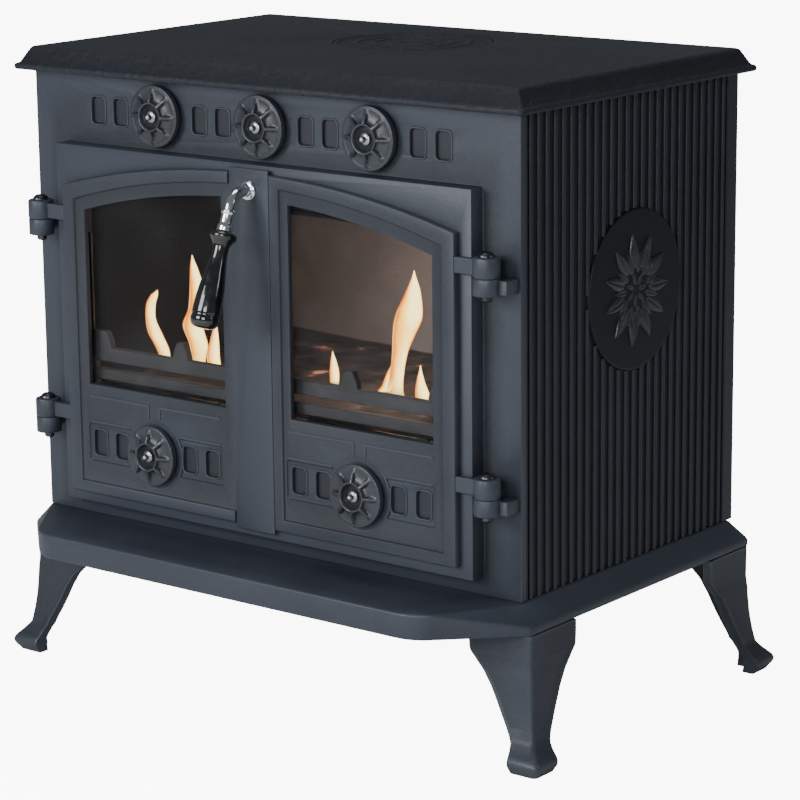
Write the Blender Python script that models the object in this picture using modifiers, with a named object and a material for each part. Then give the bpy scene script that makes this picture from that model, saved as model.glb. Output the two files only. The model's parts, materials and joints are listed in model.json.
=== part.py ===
"""Wood burning stove in cast iron, with two arched glass doors, a hearth lip and four cabriole legs.

Units are metres and +Z is up. Sizes are measured in the stove's own frame: X = 0 is its middle, Y = 0 is
the outer face of the front casting, the front looks along -Y, and Z = 0 is the floor. The empty
"stove_origin" carries everything, and moves the middle of the whole outline to the world's origin.
"""

import math

import bmesh
import bpy
from mathutils import Matrix, Vector

# Driving dimensions
BODY_WIDTH = 0.610
BODY_DEPTH = 0.368
BODY_BOTTOM = 0.160
BODY_TOP = 0.6185
STOVE_HEIGHT = 0.642
CENTRE_Y = 0.168  # middle of the outline in the stove's own Y
GAP = 0.0003  # between touching pieces
HALF = BODY_WIDTH / 2
PLATE = 0.008  # front casting and back panel
PANEL = 0.007  # side panel behind its flutes
FLUTE_HEIGHT = 0.003
FLUTE_COUNT = 26
FLUTE_FIRST, FLUTE_LAST = 0.017, 0.343

# Lid
LID_SIDE, LID_FRONT, LID_BACK = 0.014, 0.018, 0.014
LID_LIP, LID_SLOPE = 0.007, 0.015
FLUE_Y = 0.235
COVER_RADIUS, FLUE_HOLE_RADIUS = 0.082, 0.072

# Base plate and its hearth lip
BASE_BOTTOM = 0.132
BASE_SIDE = 0.016
BASE_FRONT, BASE_BACK = -0.007, BODY_DEPTH + 0.007
LIP_FRONT, LIP_HALF, LIP_ROUND = -0.085, 0.240, 0.045

# Door surround, doors and windows; the outer arches are about one centre and the inner about another
ARCH_Z, INNER_ARCH_Z = -0.395, -0.268
SURROUND_HALF, SURROUND_LOW, SURROUND_HIGH = 0.262, 0.178, 0.548
SURROUND_FACE = -0.018
OPENING_HALF, OPENING_LOW, OPENING_ARCH = 0.240, 0.204, 0.921
DOOR_EDGE, DOOR_LOW, DOOR_ARCH = 0.248, 0.190, 0.936
DOOR_FACE, DOOR_BACK = -0.026, -0.0183
DOOR_RIM, DOOR_SIDE_RIM, RECESS_ARCH = 0.012, 0.015, 0.797
RECESS_FACE, VENT_FACE = -0.0235, -0.022
WINDOW_LOW, WINDOW_ARCH, WINDOW_OUTER = 0.305, 0.783, 0.220
VENT_X, VENT_HALF, VENT_LOW, VENT_HIGH = 0.132, 0.090, 0.225, 0.263
STRIP_HALF, STRIP_LOW, STRIP_HIGH = 0.025, 0.185, 0.545
STRIP_FACE, FLANGE_FACE = -0.0244, -0.0212
RIGHT_DOOR_INNER = STRIP_HALF + 0.001
GLASS = 0.004
SEAL_EDGE, SEAL_WIDTH, SEAL_DEPTH = 0.0035, 0.006, 0.0030

# Hinges: (lowest, joint and highest level of the two knuckles)
HINGE_X, HINGE_Y, KNUCKLE_RADIUS, PIN_RADIUS = 0.282, -0.022, 0.013, 0.005
HINGES = {"upper": (0.453, 0.470, 0.489), "lower": (0.246, 0.263, 0.282)}

# Handle
HANDLE_Z, ROD_RADIUS, ROD_BEND = 0.524, 0.0055, 0.018
GRIP_TILT = math.radians(21)
FERRULE_TOP = (-0.053, 0.508)  # Y and Z of the rod's end
FERRULE_LENGTH, GRIP_LENGTH = 0.021, 0.094

# Air wheels
WHEEL_RADIUS, WHEEL_BORE, STUD_RADIUS, WHEEL_LIFT = 0.031, 0.0043, 0.0039, 0.0045
BAND_WHEELS = {"left": -0.135, "middle": 0.0, "right": 0.135}
BAND_Z, DOOR_WHEEL_Z = 0.583, 0.243
BAND_SLOTS = (0.0525, 0.0825, 0.1875, 0.2175)
SLOT_WIDTH, SLOT_HEIGHT, SLOT_DEPTH = 0.017, 0.026, 0.003
VENT_SLOTS = (0.046, 0.076)  # either side of a door's air wheel

# Legs, seen from the corner ridge: (level, inner edge, outward throw, wall)
LEG_SECTIONS = (
    (0.1317, 0.073, 0.000, 0.009), (0.108, 0.072, 0.000, 0.009), (0.101, 0.066, 0.000, 0.009),
    (0.090, 0.055, 0.001, 0.009), (0.076, 0.045, 0.002, 0.010), (0.054, 0.033, 0.004, 0.011),
    (0.030, 0.020, 0.008, 0.012), (0.022, 0.016, 0.014, 0.014), (0.014, 0.014, 0.021, 0.017),
    (0.008, 0.014, 0.022, 0.018), (0.000, 0.018, 0.015, 0.016),
)
BOLT_INSET, BOLT_RADIUS = 0.032, 0.004

# Fire bed
LINER_OUTER, LINER_INNER, LINER_LEDGE = 0.272, 0.250, 0.236
LINER_TOP, GRATE_TOP, GRATE_THICK = 0.520, 0.289, 0.014
FIRE_FRONT, FIRE_BACK = 0.034, 0.316
FENCE_HALF, FENCE_LOW, FENCE_HIGH, FENCE_LUG = 0.237, 0.2895, 0.341, 0.017
FENCE_FRONT, FENCE_BACK = -0.009, -0.001
FENCE_SLOTS = ((0.3015, 0.3075), (0.3185, 0.3265))
COLLAR_Z, COLLAR_RADIUS, COLLAR_BORE, COLLAR_END = 0.500, 0.0625, 0.055, 0.4410

PLANES = {  # a flat outline's own axes, turned to the floor, the front or the side
    "floor": Matrix.Identity(4),
    "front": Matrix(((1, 0, 0, 0), (0, 0, -1, 0), (0, 1, 0, 0), (0, 0, 0, 1))),
    "side": Matrix(((0, 0, 1, 0), (1, 0, 0, 0), (0, 1, 0, 0), (0, 0, 0, 1))),
}
NORMALS = {"floor": Vector((0, 0, 1)), "front": Vector((0, 1, 0)), "side": Vector((1, 0, 0))}


# ---------------------------------------------------------------- scene and materials

def clear_scene():
    """Remove every object, and give back the two collections the stove is built in."""
    for old in list(bpy.data.objects):
        bpy.data.objects.remove(old)
    made = []
    for name in ("wood_burning_stove", "cutters"):
        collection = bpy.data.collections.new(name)
        bpy.context.scene.collection.children.link(collection)
        made.append(collection)
    return made


PARTS, CUTTERS = clear_scene()


def material(name, colour, roughness, metallic, alpha=1.0):
    """A Principled material of one colour."""
    made = bpy.data.materials.new(name)
    made.use_nodes = True
    shader = made.node_tree.nodes["Principled BSDF"]
    shader.inputs["Base Color"].default_value = (*colour, 1.0)
    shader.inputs["Roughness"].default_value = roughness
    shader.inputs["Metallic"].default_value = metallic
    shader.inputs["Alpha"].default_value = alpha
    return made


IRON = material("slate_iron", (0.062, 0.070, 0.086), 0.62, 0.35)
DARK_IRON = material("fire_iron", (0.022, 0.021, 0.021), 0.80, 0.30)
CHROME = material("chrome", (0.80, 0.80, 0.82), 0.12, 1.0)
BLACK_GLOSS = material("black_grip", (0.008, 0.008, 0.009), 0.18, 0.0)
STEEL = material("zinc_steel", (0.42, 0.42, 0.43), 0.38, 0.9)
FIREBRICK = material("firebrick", (0.30, 0.235, 0.175), 0.95, 0.0)
ROPE = material("seal_rope", (0.55, 0.53, 0.49), 0.95, 0.0)
GLASS_CLEAR = material("stove_glass", (0.75, 0.78, 0.78), 0.05, 0.0, 0.25)

ORIGIN = bpy.data.objects.new("stove_origin", None)
ORIGIN.location = (0, -CENTRE_Y, 0)
PARTS.objects.link(ORIGIN)


def pivot(name, location, parent=ORIGIN, parent_at=(0, 0, 0)):
    """An empty on a joint's axis, at a place in the stove's own frame."""
    made = bpy.data.objects.new(name, None)
    PARTS.objects.link(made)
    made.parent = parent
    made.location = Vector(location) - Vector(parent_at)
    made["at"] = tuple(location)
    return made


def place(name, mesh, finish, parent=ORIGIN, location=(0, 0, 0), rotation=(0, 0, 0)):
    """Add a piece: its mesh is about its own origin, which goes to a place in the stove's own frame."""
    made = bpy.data.objects.new(name, mesh)
    PARTS.objects.link(made)
    mesh.materials.clear()
    mesh.materials.append(finish)
    made.parent = parent
    made.location = Vector(location) - Vector(parent.get("at", (0, 0, 0)))
    made.rotation_euler = rotation
    return made


def boolean(target, operation, mesh, location=(0, 0, 0), rotation=(0, 0, 0)):
    """Cut a piece with a mesh, or join the mesh to it."""
    tool = bpy.data.objects.new(f"cutter_{target.name}_{len(target.modifiers)}", mesh)
    CUTTERS.objects.link(tool)
    tool.parent = ORIGIN
    tool.location = location
    tool.rotation_euler = rotation
    tool.hide_render = True
    tool.display_type = "WIRE"
    step = target.modifiers.new(operation.lower(), "BOOLEAN")
    step.operation = operation
    step.object = tool
    step.solver = "EXACT"
    return tool


def cut(target, mesh, **where):
    """Take a mesh out of a piece."""
    return boolean(target, "DIFFERENCE", mesh, **where)


def join(target, mesh, **where):
    """Add a mesh to a piece."""
    return boolean(target, "UNION", mesh, **where)


# ---------------------------------------------------------------- outlines

def rectangle(x0, x1, y0, y1):
    """Corner points, counter-clockwise."""
    return [(x0, y0), (x1, y0), (x1, y1), (x0, y1)]


def circle(x, y, radius, segments):
    """Points on a circle."""
    turn = 2 * math.pi / segments
    return [(x + radius * math.cos(turn * (i + 0.5)), y + radius * math.sin(turn * (i + 0.5)))
            for i in range(segments)]


def rounded_rectangle(x, y, width, height, radius, steps=1):
    """A rectangle about (x, y) with round corners."""
    points = []
    for corner, (sx, sy) in enumerate(((1, 1), (-1, 1), (-1, -1), (1, -1))):
        for i in range(steps + 1):
            angle = math.pi / 2 * (corner + i / steps)
            points.append((x + sx * (width / 2 - radius) + radius * math.cos(angle),
                           y + sy * (height / 2 - radius) + radius * math.sin(angle)))
    return points


def arched(left, right, low, radius, steps=8, centre=ARCH_Z):
    """An outline with a flat foot and upright sides, under an arch about X = 0 at a level."""
    points = [(left, low), (right, low)]
    for i in range(steps + 1):
        x = right + (left - right) * i / steps
        points.append((x, centre + math.sqrt(radius * radius - x * x)))
    return points


def inset_outline(points, insets):
    """Move each edge of a counter-clockwise outline inwards by its own inset, and cross the edges again."""
    count = len(points)
    lines = []
    for i in range(count):
        start, end = Vector(points[i]), Vector(points[(i + 1) % count])
        along = (end - start).normalized()
        inwards = Vector((-along.y, along.x))
        lines.append((start + inwards * insets[i], along))
    crossed = []
    for i in range(count):
        (p, d), (q, e) = lines[i - 1], lines[i]
        distance = ((q.x - p.x) * e.y - (q.y - p.y) * e.x) / (d.x * e.y - d.y * e.x)
        crossed.append(tuple(p + d * distance))
    return crossed


def round_corners(points, radii, steps=5):
    """Replace each corner of an outline that has a radius by an arc."""
    rounded = []
    for i, corner in enumerate(points):
        if not radii[i]:
            rounded.append(tuple(corner))
            continue
        corner = Vector(corner)
        before = (Vector(points[i - 1]) - corner).normalized()
        after = (Vector(points[(i + 1) % len(points)]) - corner).normalized()
        half_angle = before.angle(after) / 2
        centre = corner + (before + after).normalized() * (radii[i] / math.sin(half_angle))
        reach = radii[i] / math.tan(half_angle)
        start, end = corner + before * reach - centre, corner + after * reach - centre
        sweep = start.angle_signed(end)
        for k in range(steps + 1):
            spoke = Matrix.Rotation(-sweep * k / steps, 2) @ start
            rounded.append(tuple(centre + spoke))
    return rounded


# ---------------------------------------------------------------- meshes

def solid(name, plane, outline, low, high, holes=()):
    """A flat outline filled and extruded between two levels along its plane's normal, as a mesh."""
    curve = bpy.data.curves.new(name, "CURVE")
    curve.dimensions = "2D"
    curve.fill_mode = "BOTH"
    curve.extrude = (high - low) / 2
    for ring in (outline, *holes):
        spline = curve.splines.new("POLY")
        spline.points.add(len(ring) - 1)
        spline.use_cyclic_u = True
        for point, (x, y) in zip(spline.points, ring):
            point.co = (x, y, 0, 1)
    shape = bpy.data.objects.new(name, curve)
    bpy.context.scene.collection.objects.link(shape)
    mesh = bpy.data.meshes.new_from_object(shape.evaluated_get(bpy.context.evaluated_depsgraph_get()))
    bpy.data.objects.remove(shape)
    bpy.data.curves.remove(curve)
    weld(mesh)
    mesh.transform(Matrix.Translation(NORMALS[plane] * (low + high) / 2) @ PLANES[plane])
    return mesh


def weld(mesh):
    """Merge a mesh's doubled points and face it outwards."""
    work = bmesh.new()
    work.from_mesh(mesh)
    bmesh.ops.remove_doubles(work, verts=work.verts, dist=0.00001)
    bmesh.ops.recalc_face_normals(work, faces=work.faces)
    work.to_mesh(mesh)
    work.free()


def block(name, low, high):
    """A box between two corners."""
    work = bmesh.new()
    low, high = Vector(low), Vector(high)
    size = high - low
    bmesh.ops.create_cube(work, size=1.0,
                          matrix=Matrix.Translation((low + high) / 2) @ Matrix.Diagonal((*size, 1)))
    mesh = bpy.data.meshes.new(name)
    work.to_mesh(mesh)
    work.free()
    return mesh


def cylinder(name, radius, low, high, segments=16):
    """An upright round bar about the Z axis."""
    work = bmesh.new()
    bmesh.ops.create_cone(work, cap_ends=True, segments=segments, radius1=radius, radius2=radius,
                          depth=high - low, matrix=Matrix.Translation((0, 0, (low + high) / 2)))
    mesh = bpy.data.meshes.new(name)
    work.to_mesh(mesh)
    work.free()
    return mesh


def merged(name, meshes):
    """Several separate meshes as one, for a tool that cuts in several places."""
    work = bmesh.new()
    for mesh in meshes:
        work.from_mesh(mesh)
        bpy.data.meshes.remove(mesh)
    made = bpy.data.meshes.new(name)
    work.to_mesh(made)
    work.free()
    return made


def loft(name, rings):
    """Rings of points with equal counts, joined from the lowest up and capped at both ends."""
    work = bmesh.new()
    rows = [[work.verts.new(point) for point in ring] for ring in rings]
    count = len(rows[0])
    for lower, upper in zip(rows, rows[1:]):
        for i in range(count):
            k = (i + 1) % count
            work.faces.new((lower[i], lower[k], upper[k], upper[i]))
    work.faces.new(rows[0])
    work.faces.new(rows[-1])
    bmesh.ops.triangulate(work, faces=work.faces)
    bmesh.ops.recalc_face_normals(work, faces=work.faces)
    mesh = bpy.data.meshes.new(name)
    work.to_mesh(mesh)
    work.free()
    return mesh


def turned(name, profile, bored=False):
    """The edges of a turned profile of (radius, level) points, top to bottom on its outer side."""
    mesh = bpy.data.meshes.new(name)
    edges = [(i, i + 1) for i in range(len(profile) - 1)]
    if bored:
        edges.append((len(profile) - 1, 0))
    mesh.from_pydata([(radius, 0, level) for radius, level in profile], edges, [])
    return mesh


def screw(target, steps=20):
    """Turn a profile once about Z, and shade the result smooth."""
    turn = target.modifiers.new("turn", "SCREW")
    turn.axis = "Z"
    turn.angle = 2 * math.pi
    turn.steps = turn.render_steps = steps
    turn.use_merge_vertices = True
    turn.merge_threshold = 0.00001
    turn.use_smooth_shade = True
    return target


FACING_FRONT = (math.pi / 2, 0, 0)  # turns +Z to -Y


# ---------------------------------------------------------------- castings of the body

def base_outline(inset_side, inset_front):
    """Plan of the base plate with its hearth lip, inset at the sides and back and at the front."""
    side = HALF + BASE_SIDE
    corners = [(side, BASE_BACK), (-side, BASE_BACK), (-side, BASE_FRONT), (-LIP_HALF, LIP_FRONT),
               (LIP_HALF, LIP_FRONT), (side, BASE_FRONT)]
    insets = [inset_side, inset_side, inset_front, inset_front, inset_front, inset_side]
    moved = inset_outline(corners, insets)
    turn = LIP_ROUND - inset_front
    return round_corners(moved, (0, 0, 0, turn, turn, 0))


def build_base_plate():
    """The hearth: a chamfered plate on a skirt, with corner pads for the legs and two pan runners."""
    chamfer, lip_edge, side_edge = 0.015, 0.157, 0.140
    full = base_outline(0, 0)
    rings = [
        [(x, y, BASE_BOTTOM) for x, y in full],
        [(x, y, lip_edge if y < BASE_FRONT - GAP else side_edge) for x, y in full],
        [(x, y, BODY_BOTTOM) for x, y in base_outline(chamfer, 0.018)],
    ]
    plate = place("base_plate", loft("base_plate", rings), IRON)
    skirt, pad, top = 0.311, 0.236, 0.151
    back, front = BASE_BACK - 0.010, BASE_FRONT + 0.075
    slant, rear_pad = 0.008, back - 0.065
    half = [(0.222, -0.075), (pad, -0.062), (pad, front - slant), (skirt, front),
            (skirt, rear_pad), (pad, rear_pad + slant), (pad, back)]
    pocket = half + [(-x, y) for x, y in reversed(half)]
    cut(plate, solid("pocket", "floor", pocket, BASE_BOTTOM - 0.01, top))
    runners = [block("runner", (side * 0.155 - 0.005, FIRE_FRONT, BODY_BOTTOM - 0.004),
                     (side * 0.155 + 0.005, FIRE_BACK, 0.200)) for side in (-1, 1)]
    join(plate, merged("runners", runners))
    holes = []
    for x, y in bolt_places():
        hole = cylinder("bolt_hole", BOLT_RADIUS + GAP, 0.12, 0.17)
        hole.transform(Matrix.Translation((x, y, 0)))
        holes.append(hole)
    cut(plate, merged("bolt_holes", holes))


def bolt_places():
    """Plan of the four tie rods, one over each leg."""
    side = HALF + BASE_SIDE - BOLT_INSET
    return [(sx * side, y) for y in (BASE_FRONT + BOLT_INSET, BASE_BACK - BOLT_INSET) for sx in (-1, 1)]


def leg_ring(sx, sy, level, inner, throw, wall):
    """An angle section whose corner ridge faces outwards along (sx, sy)."""
    x0, y0 = sx * (HALF + BASE_SIDE), BASE_FRONT if sy < 0 else BASE_BACK
    section = [(throw, throw), (throw, -inner), (throw - wall, -inner), (throw - wall, throw - wall),
               (-inner, throw - wall), (-inner, throw)]
    return [(x0 + sx * a, y0 + sy * b, level) for a, b in section]


def build_legs():
    """Four cabriole legs, each with a lug that its tie rod clamps under the base plate."""
    for sy, end in ((-1, "front"), (1, "rear")):
        for sx, side in ((-1, "left"), (1, "right")):
            rings = [leg_ring(sx, sy, *section) for section in reversed(LEG_SECTIONS)]
            leg = place(f"{end}_{side}_leg", loft("leg", rings), IRON)
            weld(leg.data)
            x0, y0 = sx * (HALF + BASE_SIDE), BASE_FRONT if sy < 0 else BASE_BACK
            reach, wall = 0.060, 0.004
            lug = [(wall, wall), (reach, wall), (reach, 0.036), (0.036, reach), (wall, reach)]
            outline = [(x0 - sx * a, y0 - sy * b) for a, b in lug]
            join(leg, solid("lug", "floor", outline, 0.123, 0.1307))
            hole = cylinder("rod_hole", BOLT_RADIUS + GAP, 0.11, 0.14)
            cut(leg, hole, location=(x0 - sx * BOLT_INSET, y0 - sy * BOLT_INSET, 0))


def build_tie_rods():
    """A rod at each corner: a hexagon head under the leg's lug, and a shank up into the lid."""
    names = ("front_left", "front_right", "rear_left", "rear_right")
    head = 0.0075
    profile = [(0, 0.6135), (BOLT_RADIUS - GAP, 0.6135), (BOLT_RADIUS - GAP, 0.1227),
               (head, 0.1227), (head, 0.1167), (0, 0.1167)]
    for name, (x, y) in zip(names, bolt_places()):
        rod = place(f"tie_rod_{name}", turned("tie_rod", profile), STEEL, location=(x, y, 0))
        screw(rod, 12)


def build_lid():
    """The top plate with its sloping edge, a hollow underside and a stepped hole for the top flue."""
    def ring(level, inset):
        """A rectangle inset from the lid's full outline."""
        x = HALF + LID_SIDE - inset
        return [(-x, -LID_FRONT + inset, level), (x, -LID_FRONT + inset, level),
                (x, BODY_DEPTH + LID_BACK - inset, level), (-x, BODY_DEPTH + LID_BACK - inset, level)]

    low, lip = BODY_TOP, BODY_TOP + LID_LIP
    rings = [ring(low, 0.002), ring(low + 0.0015, 0), ring(lip - 0.0015, 0), ring(lip, 0.002),
             ring(lip + 0.006, 0.007), ring(STOVE_HEIGHT - 0.003, 0.0125), ring(STOVE_HEIGHT, LID_SLOPE)]
    lid = place("top_plate", loft("top_plate", rings), IRON)
    inner, under = HALF - 0.020, STOVE_HEIGHT - 0.010
    cut(lid, block("underside", (-inner, 0.016, low - 0.01), (inner, BODY_DEPTH - 0.016, under)))
    cut(lid, cylinder("flue_hole", FLUE_HOLE_RADIUS, low - 0.01, STOVE_HEIGHT + 0.01, 32),
        location=(0, FLUE_Y, 0))
    seat = STOVE_HEIGHT - 0.005
    cut(lid, cylinder("cover_seat", COVER_RADIUS, seat, STOVE_HEIGHT + 0.01, 32), location=(0, FLUE_Y, 0))

    radius, spigot = COVER_RADIUS - 0.0006, FLUE_HOLE_RADIUS - 0.004
    cover = [(0, STOVE_HEIGHT), (radius, STOVE_HEIGHT), (radius, seat + GAP), (spigot, seat + GAP),
             (spigot, seat - 0.003), (0, seat - 0.003)]
    screw(place("flue_blanking_plate", turned("cover", cover), IRON, location=(0, FLUE_Y, 0)), 32)
    reach, clamp_top = FLUE_HOLE_RADIUS + 0.015, under - GAP
    clamp = block("clamp", (-reach, FLUE_Y - 0.012, clamp_top - 0.006), (reach, FLUE_Y + 0.012, clamp_top))
    place("blanking_plate_clamp", clamp, STEEL)


def build_front_casting():
    """The front: a plate with three air inlets, and a proud surround with an arched opening for the doors."""
    plate = solid("front", "front", rectangle(-HALF, HALF, BODY_BOTTOM + GAP, BODY_TOP - GAP), 0, PLATE)
    front = place("front_casting", plate, IRON)
    surround = rectangle(-SURROUND_HALF, SURROUND_HALF, SURROUND_LOW, SURROUND_HIGH)
    join(front, solid("surround", "front", surround, SURROUND_FACE, PLATE / 2))
    opening = arched(-OPENING_HALF, OPENING_HALF, OPENING_LOW, OPENING_ARCH, 16)
    cut(front, solid("opening", "front", opening, -0.03, 0.02))
    cut(front, block("latch_notch", (-0.028, -0.03, 0.50), (0.028, 0.02, 0.536)))
    ledges = [block("ledge", (side * 0.236 - 0.006, FENCE_FRONT - 0.003, FENCE_LOW - 0.010),
                    (side * 0.236 + 0.006, FENCE_BACK, FENCE_LOW - GAP)) for side in (-1, 1)]
    join(front, merged("fence_ledges", ledges))
    slots = [slot("slot", side * x, BAND_Z - 0.001, SLOT_DEPTH, 0.0) for x in BAND_SLOTS for side in (-1, 1)]
    cut(front, merged("band_slots", slots))
    bores = [bore for x in BAND_WHEELS.values() for bore in air_inlet(x, BAND_Z, -0.01, 0.02)]
    cut(front, merged("air_inlets", bores))


def slot(name, x, z, depth, face):
    """A tool for a round-cornered slot of a depth in a face that looks along -Y."""
    outline = rounded_rectangle(x, z, SLOT_WIDTH, SLOT_HEIGHT, 0.005)
    return solid(name, "front", outline, face - 0.005, face + depth)


def air_inlet(x, z, low, high):
    """Tools for the stud's hole and the three air holes round it, between two levels of Y."""
    tools = [solid("stud_hole", "front", circle(x, z, WHEEL_BORE, 12), low, high)]
    for i in range(3):
        angle = math.radians(90 + 120 * i)
        outline = circle(x + 0.016 * math.cos(angle), z + 0.016 * math.sin(angle), 0.0055, 8)
        tools.append(solid("air_hole", "front", outline, low, high))
    return tools


def flute_outline(sx):
    """Plan of a side panel: a plain strip at each end, and half-round flutes between."""
    outer, valley, inner = HALF, HALF - FLUTE_HEIGHT, HALF - FLUTE_HEIGHT - PANEL
    front, back = PLATE + GAP, BODY_DEPTH
    pitch = (FLUTE_LAST - FLUTE_FIRST) / (FLUTE_COUNT - 1)
    points = [(inner, front), (outer, front), (outer, FLUTE_FIRST - pitch * 0.45)]
    for i in range(FLUTE_COUNT):
        y = FLUTE_FIRST + pitch * i
        for across, rise in ((-0.30, 0.0), (-0.16, 0.85), (0.16, 0.85), (0.30, 0.0)):
            points.append((valley + FLUTE_HEIGHT * rise, y + across * pitch))
    points += [(outer, FLUTE_LAST + pitch * 0.45), (outer, back), (inner, back)]
    points = [(sx * x, y) for x, y in points]
    return points if sx > 0 else points[::-1]


def build_side_panels():
    """Fluted sides, each with a cast round medallion."""
    for sx, side in ((-1, "left"), (1, "right")):
        mesh = solid("panel", "floor", flute_outline(sx), BODY_BOTTOM + GAP, BODY_TOP - GAP)
        panel = place(f"{side}_side_panel", mesh, IRON)
        disc = cylinder("medallion", 0.0785, -0.008, 0.001, 32)
        join(panel, disc, location=(sx * HALF, 0.187, 0.428), rotation=(0, sx * math.pi / 2, 0))


def build_back():
    """The back panel with its flue hole, and the flue collar bolted over it."""
    inner = HALF - FLUTE_HEIGHT - PANEL - GAP
    outline = rectangle(-inner, inner, BODY_BOTTOM + GAP, BODY_TOP - GAP)
    hole = circle(0, COLLAR_Z, 0.057, 24)
    place("back_panel", solid("back", "front", outline, BODY_DEPTH - PLATE, BODY_DEPTH, [hole]), IRON)
    seat, flange = BODY_DEPTH + GAP, 0.078
    profile = [(COLLAR_RADIUS, COLLAR_END), (COLLAR_RADIUS, seat + 0.009), (flange, seat + 0.007),
               (flange, seat), (COLLAR_BORE, seat), (COLLAR_BORE, COLLAR_END)]
    collar = place("flue_collar", turned("collar", profile, bored=True), IRON,
                   location=(0, 0, COLLAR_Z), rotation=(-math.pi / 2, 0, 0))
    screw(collar, 24)
    collar_face = seat + 0.009
    screw_profile = [(0, 0.004), (0.005, 0.003), (0.006, 0), (0, 0)]
    for sx, side in ((-1, "left"), (1, "right")):
        bolt = place(f"collar_screw_{side}", turned("collar_screw", screw_profile), STEEL,
                     location=(sx * 0.0695, collar_face, COLLAR_Z), rotation=(-math.pi / 2, 0, 0))
        screw(bolt, 12)


# ---------------------------------------------------------------- fire bed

def build_fire_bed():
    """Liners on ledges, the grate, the front fence, the baffle and the ash pan."""
    low, ledge = BODY_BOTTOM + GAP, GRATE_TOP - GRATE_THICK - GAP
    for sx, side in ((-1, "left"), (1, "right")):
        section = [(sx * x, z) for x, z in ((LINER_OUTER, low), (LINER_OUTER, LINER_TOP),
                   (LINER_INNER, LINER_TOP), (LINER_INNER, ledge), (LINER_LEDGE - 0.013, ledge),
                   (LINER_LEDGE - 0.013, low))]
        place(f"{side}_liner", solid("liner", "front", section, FIRE_FRONT, FIRE_BACK), FIREBRICK)
    inner = LINER_INNER - GAP
    back = [(-LINER_OUTER, low), (LINER_OUTER, low), (LINER_OUTER, 0.43), (-LINER_OUTER, 0.43)]
    place("back_liner", solid("back_liner", "front", back, FIRE_BACK + GAP, FIRE_BACK + 0.022), FIREBRICK)

    half, count = inner - 0.0005, 15
    pitch = 2 * (half - 0.018) / count
    openings = []
    for i in range(count):
        x = -half + 0.018 + pitch * (i + 0.5)
        for y0, y1 in ((FIRE_FRONT + 0.020, 0.166), (0.180, FIRE_BACK - 0.020)):
            openings.append(rectangle(x - 0.0085, x + 0.0085, y0, y1))
    plan = rectangle(-half, half, FIRE_FRONT + 0.002, FIRE_BACK - 0.002)
    grate = solid("grate", "floor", plan, GRATE_TOP - GRATE_THICK, GRATE_TOP, openings)
    place("fire_grate", grate, DARK_IRON)

    fence = solid("fence", "front", fence_outline(), FENCE_FRONT, FENCE_BACK, fence_slots())
    place("fire_fence", fence, DARK_IRON)
    baffle = [(0.085, LINER_TOP + 0.030), (0.085, LINER_TOP + 0.022), (FIRE_BACK - 0.010, LINER_TOP + GAP),
              (FIRE_BACK + 0.020, LINER_TOP + GAP), (FIRE_BACK + 0.020, LINER_TOP + 0.008),
              (FIRE_BACK - 0.010, LINER_TOP + 0.008)]
    place("baffle_plate", solid("baffle", "side", baffle, -inner, inner), DARK_IRON)

    pan_low, pan_high, half = 0.200 + GAP, 0.258, 0.205
    front, rear, wall = 0.030, 0.300, 0.003
    pan = place("ash_pan", block("pan", (-half, front, pan_low), (half, rear, pan_high)), DARK_IRON)
    side = half - wall
    cut(pan, block("pan_hollow", (-side, front + wall, pan_low + wall), (side, rear - wall, 0.3)))
    join(pan, block("pan_grip", (-0.030, 0.012, pan_high - 0.022), (0.030, front + 0.001, pan_high - 0.018)))


def fence_outline():
    """The fire fence's outline: a rail with five tapered lugs, the end ones a little wider."""
    points = [(FENCE_HALF, FENCE_LOW), (FENCE_HALF, FENCE_HIGH)]
    shoulder, top = FENCE_HIGH + 0.007, FENCE_HIGH + FENCE_LUG
    for x, half_lug in ((0.216, 0.013), (0.108, 0.0105), (0, 0.0105), (-0.108, 0.0105), (-0.216, 0.013)):
        sides = ((half_lug, FENCE_HIGH), (half_lug - 0.0015, shoulder), (half_lug - 0.006, top))
        points += [(x + reach, z) for reach, z in sides]
        points += [(x - reach, z) for reach, z in reversed(sides)]
    points += [(-FENCE_HALF, FENCE_HIGH), (-FENCE_HALF, FENCE_LOW)]
    return points


def fence_slots():
    """Two rows of long slots in the fence."""
    slots = []
    for low, high in FENCE_SLOTS:
        for side in (-1, 1):
            x0, x1 = sorted((side * 0.010, side * (FENCE_HALF - 0.012)))
            slots.append(rectangle(x0, x1, low, high))
    return slots


# ---------------------------------------------------------------- doors

def door_spans(side):
    """Left and right limits of a door's outline, recess, window, glass and seal."""
    if side > 0:
        return {"outline": (RIGHT_DOOR_INNER, DOOR_EDGE), "recess": (0.038, DOOR_EDGE - DOOR_SIDE_RIM),
                "window": (0.048, WINDOW_OUTER), "glass": (0.041, WINDOW_OUTER + 0.007),
                "seal": (0.029, DOOR_EDGE - SEAL_EDGE)}
    return {"outline": (-DOOR_EDGE, STRIP_HALF), "recess": (-DOOR_EDGE + DOOR_SIDE_RIM, -STRIP_HALF + 0.001),
            "window": (-WINDOW_OUTER, -0.037), "glass": (-WINDOW_OUTER - 0.007, -0.0335),
            "seal": (-DOOR_EDGE + SEAL_EDGE, -0.027)}


def seal_ring(side, slack):
    """Outer and inner outline of a door's rope seal, or of its groove when slack is 0."""
    left, right = door_spans(side)["seal"]
    low, arch = DOOR_LOW + SEAL_EDGE, DOOR_ARCH - SEAL_EDGE
    width = SEAL_WIDTH
    outer = arched(left + slack, right - slack, low + slack, arch - slack)
    inner = arched(left + width - slack, right - width + slack, low + width - slack, arch - width + slack)
    return outer, inner


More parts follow.
